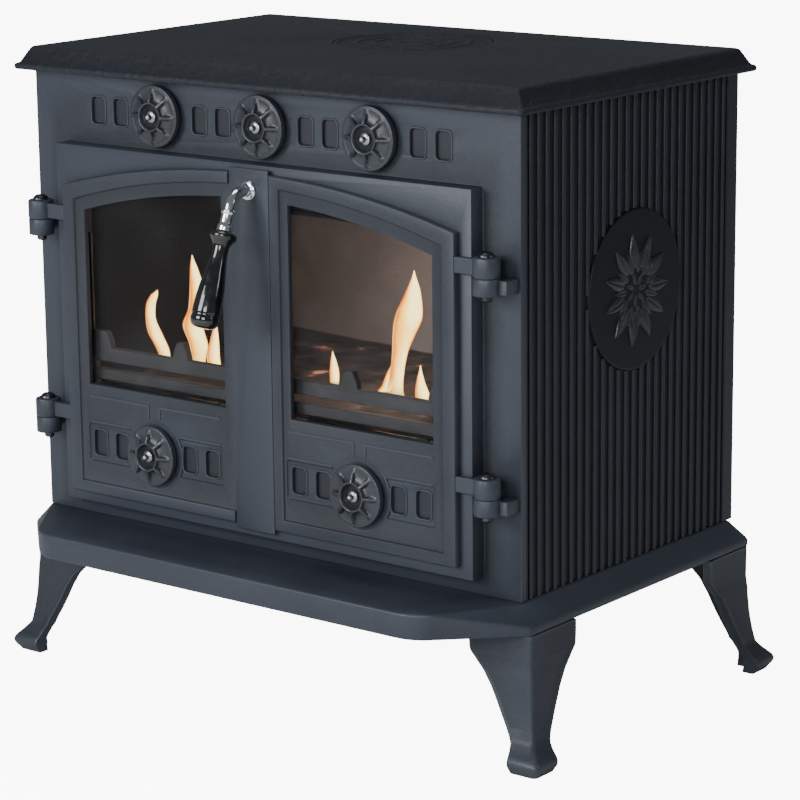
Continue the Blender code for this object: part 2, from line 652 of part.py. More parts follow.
def build_door(side, parent):
    """A door: its casting with hinge arms, glass, glass bars, rope seal and air wheel."""
    name = "right" if side > 0 else "left"
    spans = door_spans(side)
    outline = arched(*spans["outline"], DOOR_LOW, DOOR_ARCH)
    at = tuple(parent["at"])
    casting = solid("door", "front", outline, DOOR_FACE, DOOR_BACK)
    casting.transform(Matrix.Translation(-Vector(at)))
    door = place(f"{name}_door", casting, IRON, parent, at)

    recess = arched(*spans["recess"], DOOR_LOW + DOOR_RIM, RECESS_ARCH, centre=INNER_ARCH_Z)
    cut(door, solid("recess", "front", recess, DOOR_FACE - 0.005, RECESS_FACE))
    if side < 0:
        cut(door, block("flange", (-STRIP_HALF, DOOR_FACE - 0.005, DOOR_LOW - 0.01),
                        (STRIP_HALF + 0.01, FLANGE_FACE, STRIP_HIGH + 0.01)))
        cut(door, cylinder("spindle_hole", ROD_RADIUS + 2 * GAP, -0.01, 0.05), rotation=FACING_FRONT,
            location=(0, 0, HANDLE_Z))
    window = arched(*spans["window"], WINDOW_LOW, WINDOW_ARCH, centre=INNER_ARCH_Z)
    cut(door, solid("window", "front", window, DOOR_FACE - 0.005, 0))
    centre = side * VENT_X
    vent = rectangle(centre - VENT_HALF, centre + VENT_HALF, VENT_LOW, VENT_HIGH)
    cut(door, solid("vent", "front", vent, DOOR_FACE - 0.005, VENT_FACE))
    slots = [slot("slot", centre + s * x, VENT_LOW + 0.019, SLOT_DEPTH, VENT_FACE)
             for x in VENT_SLOTS for s in (-1, 1)]
    cut(door, merged("vent_slots", slots))
    cut(door, merged("air_inlet", air_inlet(centre, DOOR_WHEEL_Z, DOOR_FACE - 0.005, 0)))
    groove, core = seal_ring(side, 0)
    cut(door, solid("groove", "front", groove, DOOR_BACK - SEAL_DEPTH, 0, [core]))
    for low, middle, high in HINGES.values():
        x0, x1 = sorted((side * (DOOR_EDGE - 0.0025), side * HINGE_X))
        join(door, block("arm", (x0, HINGE_Y - 0.0035, middle), (x1, HINGE_Y + 0.003, high - 0.003)))
        knuckle = cylinder("knuckle", KNUCKLE_RADIUS, middle, high, 20)
        join(door, knuckle, location=(side * HINGE_X, HINGE_Y, 0))
        bore = cylinder("bore", PIN_RADIUS + 0.0004, low, high + 0.01)
        cut(door, bore, location=(side * HINGE_X, HINGE_Y, 0))

    pane = arched(*spans["glass"], WINDOW_LOW - 0.006, WINDOW_ARCH + 0.006, centre=INNER_ARCH_Z)
    glass = solid("glass", "front", pane, DOOR_BACK + GAP, DOOR_BACK + GAP + GLASS)
    glass.transform(Matrix.Translation(-Vector(at)))
    place(f"{name}_glass", glass, GLASS_CLEAR, parent, at)

    outer, inner = seal_ring(side, GAP)
    rope = solid("rope", "front", outer, DOOR_BACK - SEAL_DEPTH + GAP, DOOR_BACK, [inner])
    rope.transform(Matrix.Translation(-Vector(at)))
    place(f"{name}_door_seal", rope, ROPE, parent, at)
    build_glass_bars(name, side, spans, parent)


def build_glass_bars(name, side, spans, parent):
    """The stepped bars behind a door that hold the glass, one below it and one beside it."""
    at = Vector(parent["at"])
    back, step = DOOR_BACK + GAP, DOOR_BACK + 2 * GAP + GLASS
    end, low = step + 0.0025, WINDOW_LOW - 0.006 - GAP
    section = [(back, low - 0.010), (end, low - 0.010), (end, low + 0.006), (step, low + 0.006),
               (step, low), (back, low)]
    left, right = spans["glass"]
    bar = solid("bar", "side", section, left + 0.020, right - 0.020)
    bar.transform(Matrix.Translation(-at))
    place(f"{name}_glass_bar_bottom", bar, STEEL, parent, tuple(at))
    edge = WINDOW_OUTER + 0.007 + GAP
    section = [(edge, back), (edge + 0.009, back), (edge + 0.009, end), (edge - 0.006, end),
               (edge - 0.006, step), (edge, step)]
    section = [(side * x, y) for x, y in section]
    bar = solid("bar", "floor", section, 0.330, 0.460)
    bar.transform(Matrix.Translation(-at))
    place(f"{name}_glass_bar_side", bar, STEEL, parent, tuple(at))


def build_hinges():
    """The fixed half of each hinge and its pin."""
    for side, name in ((-1, "left"), (1, "right")):
        for level, (low, middle, high) in HINGES.items():
            x0, x1 = sorted((side * (HINGE_X + 0.004), side * (HINGE_X + 0.021)))
            arm = block("bracket", (x0, HINGE_Y + 0.002, low + 0.001), (x1, -GAP, middle - 0.002))
            bracket = place(f"{name}_hinge_bracket_{level}", arm, IRON)
            join(bracket, cylinder("knuckle", KNUCKLE_RADIUS, low, middle - GAP, 20),
                 location=(side * HINGE_X, HINGE_Y, 0))
            bore = cylinder("bore", PIN_RADIUS + 0.0003, low - 0.01, middle + 0.01)
            cut(bracket, bore, location=(side * HINGE_X, HINGE_Y, 0))
            pin = [(0, high + 0.0050), (0.005, high + 0.0040), (0.008, high + 0.0015), (0.008, high + GAP),
                   (PIN_RADIUS, high + GAP), (PIN_RADIUS, low - 0.004), (0.0035, low - 0.006),
                   (0, low - 0.006)]
            screw(place(f"{name}_hinge_pin_{level}", turned("pin", pin), STEEL,
                        location=(side * HINGE_X, HINGE_Y, 0)), 16)


def build_handle(door_pivot, handle_pivot):
    """The centre strip and rose on the left door, and the turning handle with its latch cam."""
    at = Vector(door_pivot["at"])
    strip_mesh = solid("strip", "front", rectangle(-STRIP_HALF, STRIP_HALF, STRIP_LOW, STRIP_HIGH),
                       STRIP_FACE, FLANGE_FACE - GAP)
    strip_mesh.transform(Matrix.Translation(-at))
    strip = place("centre_strip", strip_mesh, IRON, door_pivot, tuple(at))
    cut(strip, cylinder("spindle_hole", ROD_RADIUS + 2 * GAP, -0.01, 0.05), rotation=FACING_FRONT,
        location=(0, 0, HANDLE_Z))
    rose = [(0.0100, 0.0010), (0.0100, 0), (ROD_RADIUS + 2 * GAP, 0), (ROD_RADIUS + 2 * GAP, 0.0028),
            (0.0080, 0.0028)]
    screw(place("handle_rose", turned("rose", rose, bored=True), CHROME, door_pivot,
                location=(0, STRIP_FACE - GAP, HANDLE_Z), rotation=FACING_FRONT), 20)

    end = Vector((0, *FERRULE_TOP))
    down = Vector((0, -math.sin(GRIP_TILT), -math.cos(GRIP_TILT)))
    corner = end - down * ((HANDLE_Z - end.z) / math.cos(GRIP_TILT))
    bend = math.pi / 2 - GRIP_TILT
    reach = ROD_BEND * math.tan(bend / 2)
    centre = Vector((0, corner.y + reach, HANDLE_Z - ROD_BEND))
    route = [Vector((0, -0.006, HANDLE_Z))]
    for i in range(7):
        angle = bend * i / 6
        route.append(centre + ROD_BEND * Vector((0, -math.sin(angle), math.cos(angle))))
    route.append(end - down * GAP)
    pivot_at = Vector(handle_pivot["at"])
    rod = tube_mesh("rod", [point - pivot_at for point in route], ROD_RADIUS)
    place("handle_spindle", rod, CHROME, handle_pivot, tuple(pivot_at))

    tilt = (math.pi - GRIP_TILT, 0, 0)  # turns +Z down along the grip
    ferrule = [(0.0078, FERRULE_LENGTH), (0.0078, 0.015), (0.0068, 0.013), (0.0068, 0.004), (0.0075, 0.002),
               (0.0072, 0), (0, 0)]
    ferrule = [(0, FERRULE_LENGTH)] + ferrule
    screw(place("handle_ferrule", turned("ferrule", ferrule), CHROME, handle_pivot, tuple(end), tilt), 16)
    grip_start = end + down * (FERRULE_LENGTH + GAP)
    grip = [(0, GRIP_LENGTH), (0.0095, 0.0930), (0.0130, 0.0900), (0.0140, 0.0860), (0.0133, 0.0820),
            (0.0140, 0.0750), (0.0130, 0.0590), (0.0110, 0.0430), (0.0083, 0.0260), (0.0080, 0.0140),
            (0.0112, 0.0090), (0.0136, 0.0046), (0.0115, 0.0008), (0, 0)]
    screw(place("handle_grip", turned("grip", grip), BLACK_GLOSS, handle_pivot, tuple(grip_start), tilt), 16)

    hub, length, half = 0.0085, 0.024, 0.006
    start = math.asin(half / hub)
    cam = [(length, -half), (length, half)]
    for i in range(9):
        angle = start + (2 * math.pi - 2 * start) * i / 8
        cam.append((hub * math.cos(angle), hub * math.sin(angle)))
    bore = circle(0, 0, ROD_RADIUS + 2 * GAP, 16)
    mesh = solid("cam", "front", cam, -0.013, -0.007, [bore])
    mesh.transform(Matrix.Translation((0, -pivot_at.y, 0)))
    place("latch_cam", mesh, STEEL, handle_pivot, tuple(pivot_at))


def tube_mesh(name, points, radius):
    """A round bar along points, from a curve with filled caps, as a welded mesh."""
    curve = bpy.data.curves.new(name, "CURVE")
    curve.dimensions = "3D"
    curve.bevel_depth = radius
    curve.bevel_resolution = 3
    curve.use_fill_caps = True
    spline = curve.splines.new("POLY")
    spline.points.add(len(points) - 1)
    for point, place_at in zip(spline.points, points):
        point.co = (*place_at, 1)
    shape = bpy.data.objects.new(name, curve)
    bpy.context.scene.collection.objects.link(shape)
    mesh = bpy.data.meshes.new_from_object(shape.evaluated_get(bpy.context.evaluated_depsgraph_get()))
    bpy.data.objects.remove(shape)
    bpy.data.curves.remove(curve)
    weld(mesh)
    return mesh


# ---------------------------------------------------------------- air wheels

def build_air_wheel(name, x, z, face, parent, stud_parent, depth):
    """A ribbed air wheel, lifted off a face at Y = face, on a stud that goes to a depth behind it."""
    crest, dish = 0.0115, 0.0060
    profile = [(0.0115, dish), (0.0130, crest), (0.0160, crest), (0.0280, 0.0055), (WHEEL_RADIUS, 0.0050),
               (WHEEL_RADIUS, 0.0), (WHEEL_BORE, 0.0), (WHEEL_BORE, dish)]
    back = face - WHEEL_LIFT
    wheel = place(f"air_wheel_{name}", turned("air_wheel", profile, bored=True), IRON, parent,
                  (x, back, z), FACING_FRONT)
    screw(wheel, 20)
    star = []
    for i in range(8):
        for radius, spread in ((0.0145, -0.20), (0.0260, -0.09), (0.0260, 0.09), (0.0145, 0.20)):
            angle = 2 * math.pi * i / 8 + spread
            star.append((x + radius * math.cos(angle), z + radius * math.sin(angle)))
    ribs = solid("ribs", "front", star, back - 0.0098, back - 0.002, [circle(x, z, 0.0122, 12)])
    join(wheel, ribs)
    head = 0.0016 + dish
    foot = -depth - WHEEL_LIFT
    stud = [(0, head + 0.0075), (0.0030, head + 0.0070), (0.0050, head + 0.0045), (0.0060, head + 0.0020),
            (0.0060, dish + GAP), (STUD_RADIUS, dish + GAP), (STUD_RADIUS, foot), (0, foot)]
    screw(place(f"air_wheel_stud_{name}", turned("stud", stud), STEEL, stud_parent, (x, back, z),
                FACING_FRONT), 12)


# ---------------------------------------------------------------- assembly

def main():
    """Build every piece of the stove."""
    build_base_plate()
    build_legs()
    build_tie_rods()
    build_lid()
    build_front_casting()
    build_side_panels()
    build_back()
    build_fire_bed()
    build_hinges()
    for side, name in ((-1, "left"), (1, "right")):
        door_at = (side * HINGE_X, HINGE_Y, 0.0)
        door_pivot = pivot(f"{name}_door_pivot", door_at)
        build_door(side, door_pivot)
        if side < 0:
            handle_pivot = pivot("handle_pivot", (0, STRIP_FACE, HANDLE_Z), door_pivot, door_at)
            build_handle(door_pivot, handle_pivot)
        x = side * VENT_X
        wheel_pivot = pivot(f"{name}_door_wheel_pivot", (x, VENT_FACE, DOOR_WHEEL_Z), door_pivot, door_at)
        build_air_wheel(f"{name}_door", x, DOOR_WHEEL_Z, VENT_FACE, wheel_pivot, door_pivot, 0.003)
    for name, x in BAND_WHEELS.items():
        wheel_pivot = pivot(f"{name}_band_wheel_pivot", (x, 0, BAND_Z))
        build_air_wheel(f"top_{name}", x, BAND_Z, 0.0, wheel_pivot, ORIGIN, 0.012)


main()
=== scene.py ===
"""Looks of a cast iron wood burning stove: painted castings, chrome handle, glass, brick and fire.

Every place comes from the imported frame, in metres, with +Z up and the stove's front towards -Y. Each
sub-assembly is a class that builds its meshes and dresses them with a finish.
"""

import json
import logging
import math
from dataclasses import dataclass
from enum import Enum
from typing import Iterable, Sequence

import bmesh
import bpy
from mathutils import Matrix, Vector


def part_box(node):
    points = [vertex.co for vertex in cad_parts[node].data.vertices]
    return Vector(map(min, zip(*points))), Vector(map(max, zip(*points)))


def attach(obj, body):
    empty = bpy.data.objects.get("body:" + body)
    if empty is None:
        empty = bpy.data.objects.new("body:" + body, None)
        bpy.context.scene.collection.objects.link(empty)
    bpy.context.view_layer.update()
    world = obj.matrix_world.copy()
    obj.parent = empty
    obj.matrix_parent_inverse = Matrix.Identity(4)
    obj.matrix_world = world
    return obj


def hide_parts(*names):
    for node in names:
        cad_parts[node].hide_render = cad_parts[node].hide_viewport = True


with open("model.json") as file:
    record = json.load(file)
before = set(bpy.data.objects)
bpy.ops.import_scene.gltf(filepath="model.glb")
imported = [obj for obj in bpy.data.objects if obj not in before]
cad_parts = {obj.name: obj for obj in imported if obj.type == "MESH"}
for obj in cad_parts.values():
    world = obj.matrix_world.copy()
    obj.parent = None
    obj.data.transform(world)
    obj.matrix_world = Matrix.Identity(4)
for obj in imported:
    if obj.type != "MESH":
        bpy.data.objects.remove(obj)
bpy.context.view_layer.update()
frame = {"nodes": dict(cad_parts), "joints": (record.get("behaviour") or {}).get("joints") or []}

LOG = logging.getLogger("stove")
WELD = 0.00001
FULL_TURN = 2 * math.pi
WHEEL_GAP = 0.0045
SLOT_HALF = (0.0087, 0.0132)
SLOT_CORNER = 0.0046
SLOT_STEPS = ((-0.004, 0.0012), (-0.0006, 0.0010), (0.0003, 0.0002), (0.0012, 0.0), (0.0028, -0.0003))
OUTER_ARCH_Z, INNER_ARCH_Z = -0.395, -0.268
VENT_SLOT_Z = 0.244
HINGE_LEVELS = ((0.470, 0.489), (0.263, 0.282))

Colour = tuple[float, float, float]
Point = Sequence[float]


class Side(Enum):
    """The stove's left and right as seen from its front."""

    LEFT = -1
    RIGHT = 1

    @property
    def word(self) -> str:
        """The side as it stands in a node's name."""
        return self.name.lower()


# ------------------------------------------------------------------ shader maths

class Socket:
    """A node's output that takes part in arithmetic."""

    def __init__(self, graph: "Graph", link: bpy.types.NodeSocket) -> None:
        """Keep the graph and the output socket."""
        self.graph = graph
        self.link = link

    def maths(self, operation: str, *values: "Socket | float") -> "Socket":
        """Add a Math node.

        Args:
            operation: The Math node's operation.
            values: Its inputs in order.

        Returns:
            The node's output.
        """
        return self.graph.node("ShaderNodeMath", {"operation": operation}, dict(enumerate(values)))

    def __add__(self, other: "Socket | float") -> "Socket":
        """Sum."""
        return self.maths("ADD", self, other)

    def __radd__(self, other: float) -> "Socket":
        """Sum with a number on the left."""
        return self.maths("ADD", other, self)

    def __sub__(self, other: "Socket | float") -> "Socket":
        """Difference."""
        return self.maths("SUBTRACT", self, other)

    def __rsub__(self, other: float) -> "Socket":
        """Difference with a number on the left."""
        return self.maths("SUBTRACT", other, self)

    def __mul__(self, other: "Socket | float") -> "Socket":
        """Product."""
        return self.maths("MULTIPLY", self, other)

    def __rmul__(self, other: float) -> "Socket":
        """Product with a number on the left."""
        return self.maths("MULTIPLY", other, self)

    def clamp(self) -> "Socket":
        """The value kept from 0 to 1."""
        return self.graph.node("ShaderNodeClamp", {}, {"Value": self})

    def between(self, low: float, high: float) -> "Socket":
        """The value stretched so that low gives 0 and high gives 1, kept in that range."""
        return self.graph.node("ShaderNodeMapRange", {"interpolation_type": "SMOOTHSTEP"},
                               {"Value": self, "From Min": low, "From Max": high})


class Graph:
    """A material's node tree with one Principled shader."""

    def __init__(self, name: str) -> None:
        """Make the material and find its shader and output."""
        self.material = bpy.data.materials.new(name)
        self.material.use_nodes = True
        self.tree = self.material.node_tree
        self.shader = self.tree.nodes["Principled BSDF"]
        self.output = self.tree.nodes["Material Output"]

    def node(self, kind: str, settings: dict, inputs: dict, output: int | str = 0) -> Socket:
        """Add a node.

        Args:
            kind: The node's type.
            settings: Its settings, set first; "stops" are a colour ramp's (place, colour) pairs.
            inputs: Values or sockets by input name or number.
            output: The output that is wanted.

        Returns:
            That output.
        """
        made = self.tree.nodes.new(kind)
        for key, value in settings.items():
            if key == "stops":
                self._set_stops(made.color_ramp.elements, value)
            else:
                setattr(made, key, value)
        for key, value in inputs.items():
            self.connect(made.inputs[key], value)
        return Socket(self, made.outputs[output])

    @staticmethod
    def _set_stops(elements: bpy.types.ColorRampElements, stops: Sequence[tuple[float, Colour]]) -> None:
        """Give a ramp its stops."""
        while len(elements) < len(stops):
            elements.new(1.0)
        for element, (place, colour) in zip(elements, stops):
            element.position = place
            element.color = (*colour, 1.0)

    def connect(self, target: bpy.types.NodeSocket, value: "Socket | float | Point") -> None:
        """Link a socket to an input, or set the input's own value."""
        if isinstance(value, Socket):
            self.tree.links.new(value.link, target)
        elif target.type == "RGBA" and len(value) == 3:
            target.default_value = (*value, 1.0)
        else:
            target.default_value = value

    def set(self, **inputs: "Socket | float | Point") -> None:
        """Set the shader's inputs; an underscore in a name stands for a space."""
        for key, value in inputs.items():
            self.connect(self.shader.inputs[key.replace("_", " ")], value)

    def place(self) -> Socket:
        """Object coordinates, in metres."""
        return self.node("ShaderNodeTexCoord", {}, {}, "Object")

    def noise(self, scale: float, detail: float = 2.0, where: Socket | None = None) -> Socket:
        """A noise of about 1 / scale metres."""
        return self.node("ShaderNodeTexNoise", {}, {"Vector": where or self.place(), "Scale": scale,
                                                    "Detail": detail})

    def stretched(self, scale: Point) -> Socket:
        """Object coordinates with each axis scaled."""
        return self.node("ShaderNodeMapping", {}, {"Vector": self.place(), "Scale": scale})

    def mix(self, factor: Socket | float, first: "Socket | Colour", second: "Socket | Colour",
            mode: str = "MIX") -> Socket:
        """Mix two colours."""
        return self.node("ShaderNodeMix", {"data_type": "RGBA", "blend_type": mode},
                         {0: factor, 6: first, 7: second}, 2)

    def axis(self, number: int) -> Socket:
        """One of the Object coordinates: 0 is X, 1 is Y and 2 is Z."""
        return self.node("ShaderNodeSeparateXYZ", {}, {"Vector": self.place()}, number)

    def bump(self, height: Socket, depth: float, under: Socket | None = None) -> Socket:
        """Bump from a height of depth metres."""
        inputs = {"Height": height, "Distance": depth, "Strength": 1.0}
        if under:
            inputs["Normal"] = under
        return self.node("ShaderNodeBump", {}, inputs)

    def edges(self, low: float, high: float) -> Socket:
        """1 on outward edges and 0 on flat faces."""
        return self.node("ShaderNodeNewGeometry", {}, {}, "Pointiness").between(low, high)


# ------------------------------------------------------------------ finishes

@dataclass(frozen=True)
class Finish:
    """A finish: its name, and the record's slot that it belongs to."""

    name: str
    slot: str

    def paint(self, graph: Graph) -> None:
        """Set the material's shader; each finish has its own."""
        raise NotImplementedError

    def material(self) -> bpy.types.Material:
        """The finish's material, made on first use."""
        found = bpy.data.materials.get(self.name)
        if found is None:
            graph = Graph(self.name)
            self.paint(graph)
            found = graph.material
        return found


@dataclass(frozen=True)
class CastPaint(Finish):
    """Satin stove paint on sand cast iron."""

    colour: Colour = (0.030, 0.035, 0.045)
    roughness: float = 0.50
    grain: float = 0.00022
    shine: float = 0.36
    relief: float = 0.0

    def paint(self, graph: Graph) -> None:
        """Mottled colour, wear and painted highlight on edges, painted shade in recesses, a fine sand grain."""
        cloud = graph.noise(9.0, 4.0)
        speck = graph.noise(420.0, 2.0)
        tone = (cloud * 0.30 + speck * 0.22 + 0.74)
        dark = tuple(0.72 * c for c in self.colour)
        light = tuple(1.30 * c for c in self.colour)
        base = graph.mix(tone.between(0.86, 1.14), dark, light)
        # Lighter edges: part real wear, part painted highlight on rims and corners.
        edge_wear_and_highlight = graph.edges(0.505, 0.56)
        wear_and_highlight_tone = tuple(min(1.0, 1.9 * c) for c in self.colour)
        base = graph.mix(edge_wear_and_highlight * 0.55, base, wear_and_highlight_tone)
        # Painted shade: creases and recesses are darkened, as occlusion would darken them.
        painted_hollow_shade = 1 - graph.edges(0.44, 0.495)
        base = graph.mix(painted_hollow_shade * 0.45, base, tuple(0.35 * c for c in self.colour))
        sand = graph.noise(900.0, 3.0)
        wave = graph.noise(70.0, 2.0)
        shape = graph.bump(wave, self.grain * 1.6)
        if self.relief:
            shape = graph.bump(graph.noise(95.0, 5.0).between(0.40, 0.66), self.relief, shape)
        graph.set(Base_Color=base, Metallic=0.12, Specular_IOR_Level=self.shine,
                  Roughness=(self.roughness - edge_wear_and_highlight * 0.10 + speck * 0.16 - 0.08),
                  Normal=graph.bump(sand, self.grain, shape))


@dataclass(frozen=True)
class FireIron(Finish):
    """Bare iron blackened by soot, with patches of ash."""

    colour: Colour = (0.020, 0.021, 0.024)

    def paint(self, graph: Graph) -> None:
        """Soot, patches of ash and a coarse cast grain."""
        cloud = graph.noise(26.0, 5.0)
        ash = graph.noise(75.0, 3.0).between(0.52, 0.75)
        base = graph.mix(cloud.between(0.35, 0.7), self.colour, tuple(2.1 * c for c in self.colour))
        base = graph.mix(ash * 0.30, base, (0.085, 0.080, 0.078))
        graph.set(Base_Color=base, Roughness=0.62 + cloud * 0.25, Metallic=0.10,
                  Normal=graph.bump(graph.noise(600.0, 3.0), 0.0004))


@dataclass(frozen=True)
class Chrome(Finish):
    """Polished chrome plate with faint wipe marks."""

    def paint(self, graph: Graph) -> None:
        """Bright metal, a little duller in patches."""
        wipe = graph.noise(60.0, 3.0, graph.stretched((1.0, 4.0, 1.0)))
        base = graph.mix(wipe, (0.62, 0.63, 0.66), (0.86, 0.87, 0.90))
        graph.set(Base_Color=base, Metallic=1.0, Roughness=wipe * 0.16 + 0.05,
                  Normal=graph.bump(graph.noise(220.0, 1.0), 0.00004))


@dataclass(frozen=True)
class GlossGrip(Finish):
    """Gloss black moulding of the handle's grip."""

    def paint(self, graph: Graph) -> None:
        """Near black with soft moulding waves and handling marks."""
        marks = graph.noise(90.0, 4.0)
        base = graph.mix(marks.between(0.4, 0.8), (0.0045, 0.0047, 0.0055), (0.011, 0.012, 0.014))
        graph.set(Base_Color=base, Roughness=marks.between(0.3, 0.8) * 0.14 + 0.08, Coat_Weight=0.6,
                  Coat_Roughness=0.06, Normal=graph.bump(graph.noise(45.0, 1.0), 0.00025))


@dataclass(frozen=True)
class ZincSteel(Finish):
    """Zinc plated steel, a little dulled by heat."""

    colour: Colour = (0.42, 0.42, 0.44)

    def paint(self, graph: Graph) -> None:
        """Dulled metal with spangle and darker patches."""
        spangle = graph.node("ShaderNodeTexVoronoi", {}, {"Vector": graph.place(), "Scale": 900.0}, "Color")
        cloud = graph.noise(120.0, 4.0)
        base = graph.mix(cloud.between(0.35, 0.7), self.colour, tuple(0.55 * c for c in self.colour))
        base = graph.mix(0.12, base, spangle, "OVERLAY")
        graph.set(Base_Color=base, Metallic=0.95, Roughness=cloud * 0.25 + 0.20,
                  Normal=graph.bump(graph.noise(700.0, 2.0), 0.00006))


@dataclass(frozen=True)
class Firebrick(Finish):
    """Rough clay board in courses, darker below a given level where one is set."""

    colour: Colour = (0.105, 0.078, 0.062)
    ash_line: float = 0.0

    def paint(self, graph: Graph) -> None:
        """Clouds of soot and pits, and a darker band below the given level."""
        cloud = graph.noise(14.0, 5.0)
        pits = graph.noise(260.0, 3.0)
        base = graph.mix(cloud.between(0.35, 0.7), self.colour, tuple(1.25 * c for c in self.colour))
        base = graph.mix(pits.between(0.55, 0.75) * 0.4, base, tuple(0.5 * c for c in self.colour))
        if self.ash_line:
            # Below the given level the board turns darker, along a wavy edge.
            level = graph.axis(2) + cloud * 0.006 + graph.axis(0) * 0.03
            base = graph.mix(1 - level.between(self.ash_line, self.ash_line + 0.003), base, (0.040, 0.030, 0.027))
        height = pits * 0.6 + cloud * 0.4
        graph.set(Base_Color=base, Roughness=pits * 0.15 + 0.82, Specular_IOR_Level=0.10,
                  Normal=graph.bump(height, 0.0004))


@dataclass(frozen=True)
class RopeSeal(Finish):
    """Knitted glass fibre rope."""

    def paint(self, graph: Graph) -> None:
        """Slanted strands with a fuzz of fibre."""
        strand = graph.node("ShaderNodeTexWave", {"bands_direction": "DIAGONAL"},
                            {"Vector": graph.place(), "Scale": 150.0, "Distortion": 1.2,
                             "Detail": 2.0, "Detail Scale": 2.0}, "Fac")
        fuzz = graph.noise(1500.0, 2.0)
        base = graph.mix(strand, (0.20, 0.19, 0.175), (0.50, 0.48, 0.44))
        base = graph.mix(graph.noise(40.0, 3.0).between(0.45, 0.8) * 0.6, base, (0.10, 0.09, 0.08))
        graph.set(Base_Color=base, Roughness=0.9 + fuzz * 0.08,
                  Normal=graph.bump(strand * 0.8 + fuzz * 0.2, 0.0006))


@dataclass(frozen=True)
class StoveGlass(Finish):
    """Clear ceramic glass, with a smoky haze towards its edges."""

    tint: Colour = (0.030, 0.030, 0.032)

    def paint(self, graph: Graph) -> None:
        """A thin sheen over what is behind, and a little smoke in clouds."""
        cloud = graph.noise(11.0, 4.0)
        smoke = cloud.between(0.45, 0.85) * 0.10
        fresnel = graph.node("ShaderNodeFresnel", {}, {"IOR": 1.35})
        graph.set(Base_Color=graph.mix(cloud, self.tint, tuple(2.0 * c for c in self.tint)), Roughness=0.06,
                  Specular_IOR_Level=0.7, Alpha=(smoke + fresnel * 0.55 + 0.03).clamp())


@dataclass(frozen=True)
class Flame(Finish):
    """A flame's glow: pale in its middle and orange where it thins out."""

    brightness: float = 4.2
    low: float = 0.30
    height: float = 0.14

    def paint(self, graph: Graph) -> None:
        """Light from inside, fading out towards the outline and the foot."""
        facing = graph.node("ShaderNodeLayerWeight", {}, {"Blend": 0.50}, "Facing")
        core = 1 - facing
        flicker = graph.noise(60.0, 3.0, graph.stretched((1.0, 1.0, 0.30)))
        rise = ((graph.axis(2) - self.low) * (1 / self.height)).clamp()
        heat = core * 1.30 + flicker * 0.60 - 0.78 + (rise.clamp() - 0.35) * 0.10
        glow = graph.node("ShaderNodeValToRGB", {"stops": ((0.0, (0.10, 0.006, 0.0002)),
                                                           (0.22, (0.36, 0.055, 0.002)),
                                                           (0.45, (0.85, 0.38, 0.03)),
                                                           (0.70, (1.0, 0.80, 0.30)))}, {"Fac": heat})
        body = (heat.between(-0.12, 0.30) * (rise * 5.0 + 0.15).clamp()).clamp()
        light = graph.node("ShaderNodeEmission", {}, {"Color": glow, "Strength": self.brightness})
        clear = graph.node("ShaderNodeBsdfTransparent", {}, {})
        mixed = graph.node("ShaderNodeMixShader", {}, {0: body, 1: clear, 2: light})
        graph.connect(graph.output.inputs["Surface"], mixed)
        graph.tree.nodes.remove(graph.shader)


@dataclass(frozen=True)
class EmberBed(Finish):
    """Ash and charcoal with glowing seams."""

    def paint(self, graph: Graph) -> None:
        """Grey brown ash, black charcoal and embers that glow through the cracks."""
        lump = graph.node("ShaderNodeTexVoronoi", {}, {"Vector": graph.place(), "Scale": 46.0})
        cloud = graph.noise(30.0, 4.0)
        base = graph.mix(cloud.between(0.35, 0.7), (0.018, 0.013, 0.011), (0.075, 0.060, 0.055))
        hot = lump.between(0.50, 0.74) * cloud.between(0.54, 0.70)
        glow = graph.mix(hot, (0.55, 0.09, 0.05), (1.0, 0.42, 0.25))
        graph.set(Base_Color=base, Roughness=0.9, Emission_Color=glow, Normal=graph.bump(cloud, 0.003))
        ember = graph.node("ShaderNodeEmission", {}, {"Color": glow, "Strength": 0.9})
        mixed = graph.node("ShaderNodeMixShader", {}, {0: hot * 0.7, 1: Socket(graph, graph.shader.outputs[0]),
                                                       2: ember})
        graph.connect(graph.output.inputs["Surface"], mixed)


@dataclass(frozen=True)
class FloorPaint(Finish):
    """The pale studio floor."""

    glow: float = 9.0

    def paint(self, graph: Graph) -> None:
        """Near white, very slightly mottled, and lifted to white where it is looked at straight."""
        cloud = graph.noise(3.0, 2.0)
        graph.set(Base_Color=graph.mix(cloud, (0.86, 0.86, 0.86), (0.90, 0.90, 0.90)), Roughness=0.75)
        seen = graph.node("ShaderNodeLightPath", {}, {}, "Is Camera Ray")
        lift = graph.node("ShaderNodeEmission", {}, {"Color": (1.0, 1.0, 1.0), "Strength": seen * self.glow})
        both = graph.node("ShaderNodeAddShader", {}, {0: Socket(graph, graph.shader.outputs[0]), 1: lift})
        graph.connect(graph.output.inputs["Surface"], both)


IRON = CastPaint("slate_paint", "slate_iron", (0.026, 0.031, 0.041))
HEARTH_IRON = CastPaint("hearth_paint", "slate_iron", (0.029, 0.035, 0.047), 0.46)
# Painted shade: the lid and flue cover get a darker copy of the body paint, for the shade seen on the top.
SHADED_LID_IRON = CastPaint("lid_paint", "slate_iron", (0.013, 0.015, 0.020), 0.60, 0.0003, 0.22, 0.0007)
# Painted shade: the side plates and flutes get a darker copy of the body paint, for the shade on the sides.
SHADED_SIDE_IRON = CastPaint("side_paint", "slate_iron", (0.014, 0.016, 0.021), 0.44, 0.0002, 0.32)
# Painted shade: the medallion disc is near black, for the shade on its face turned from the light.
SHADED_DISC_IRON = CastPaint("medallion_paint", "slate_iron", (0.007, 0.008, 0.011), 0.50, 0.0003, 0.25)
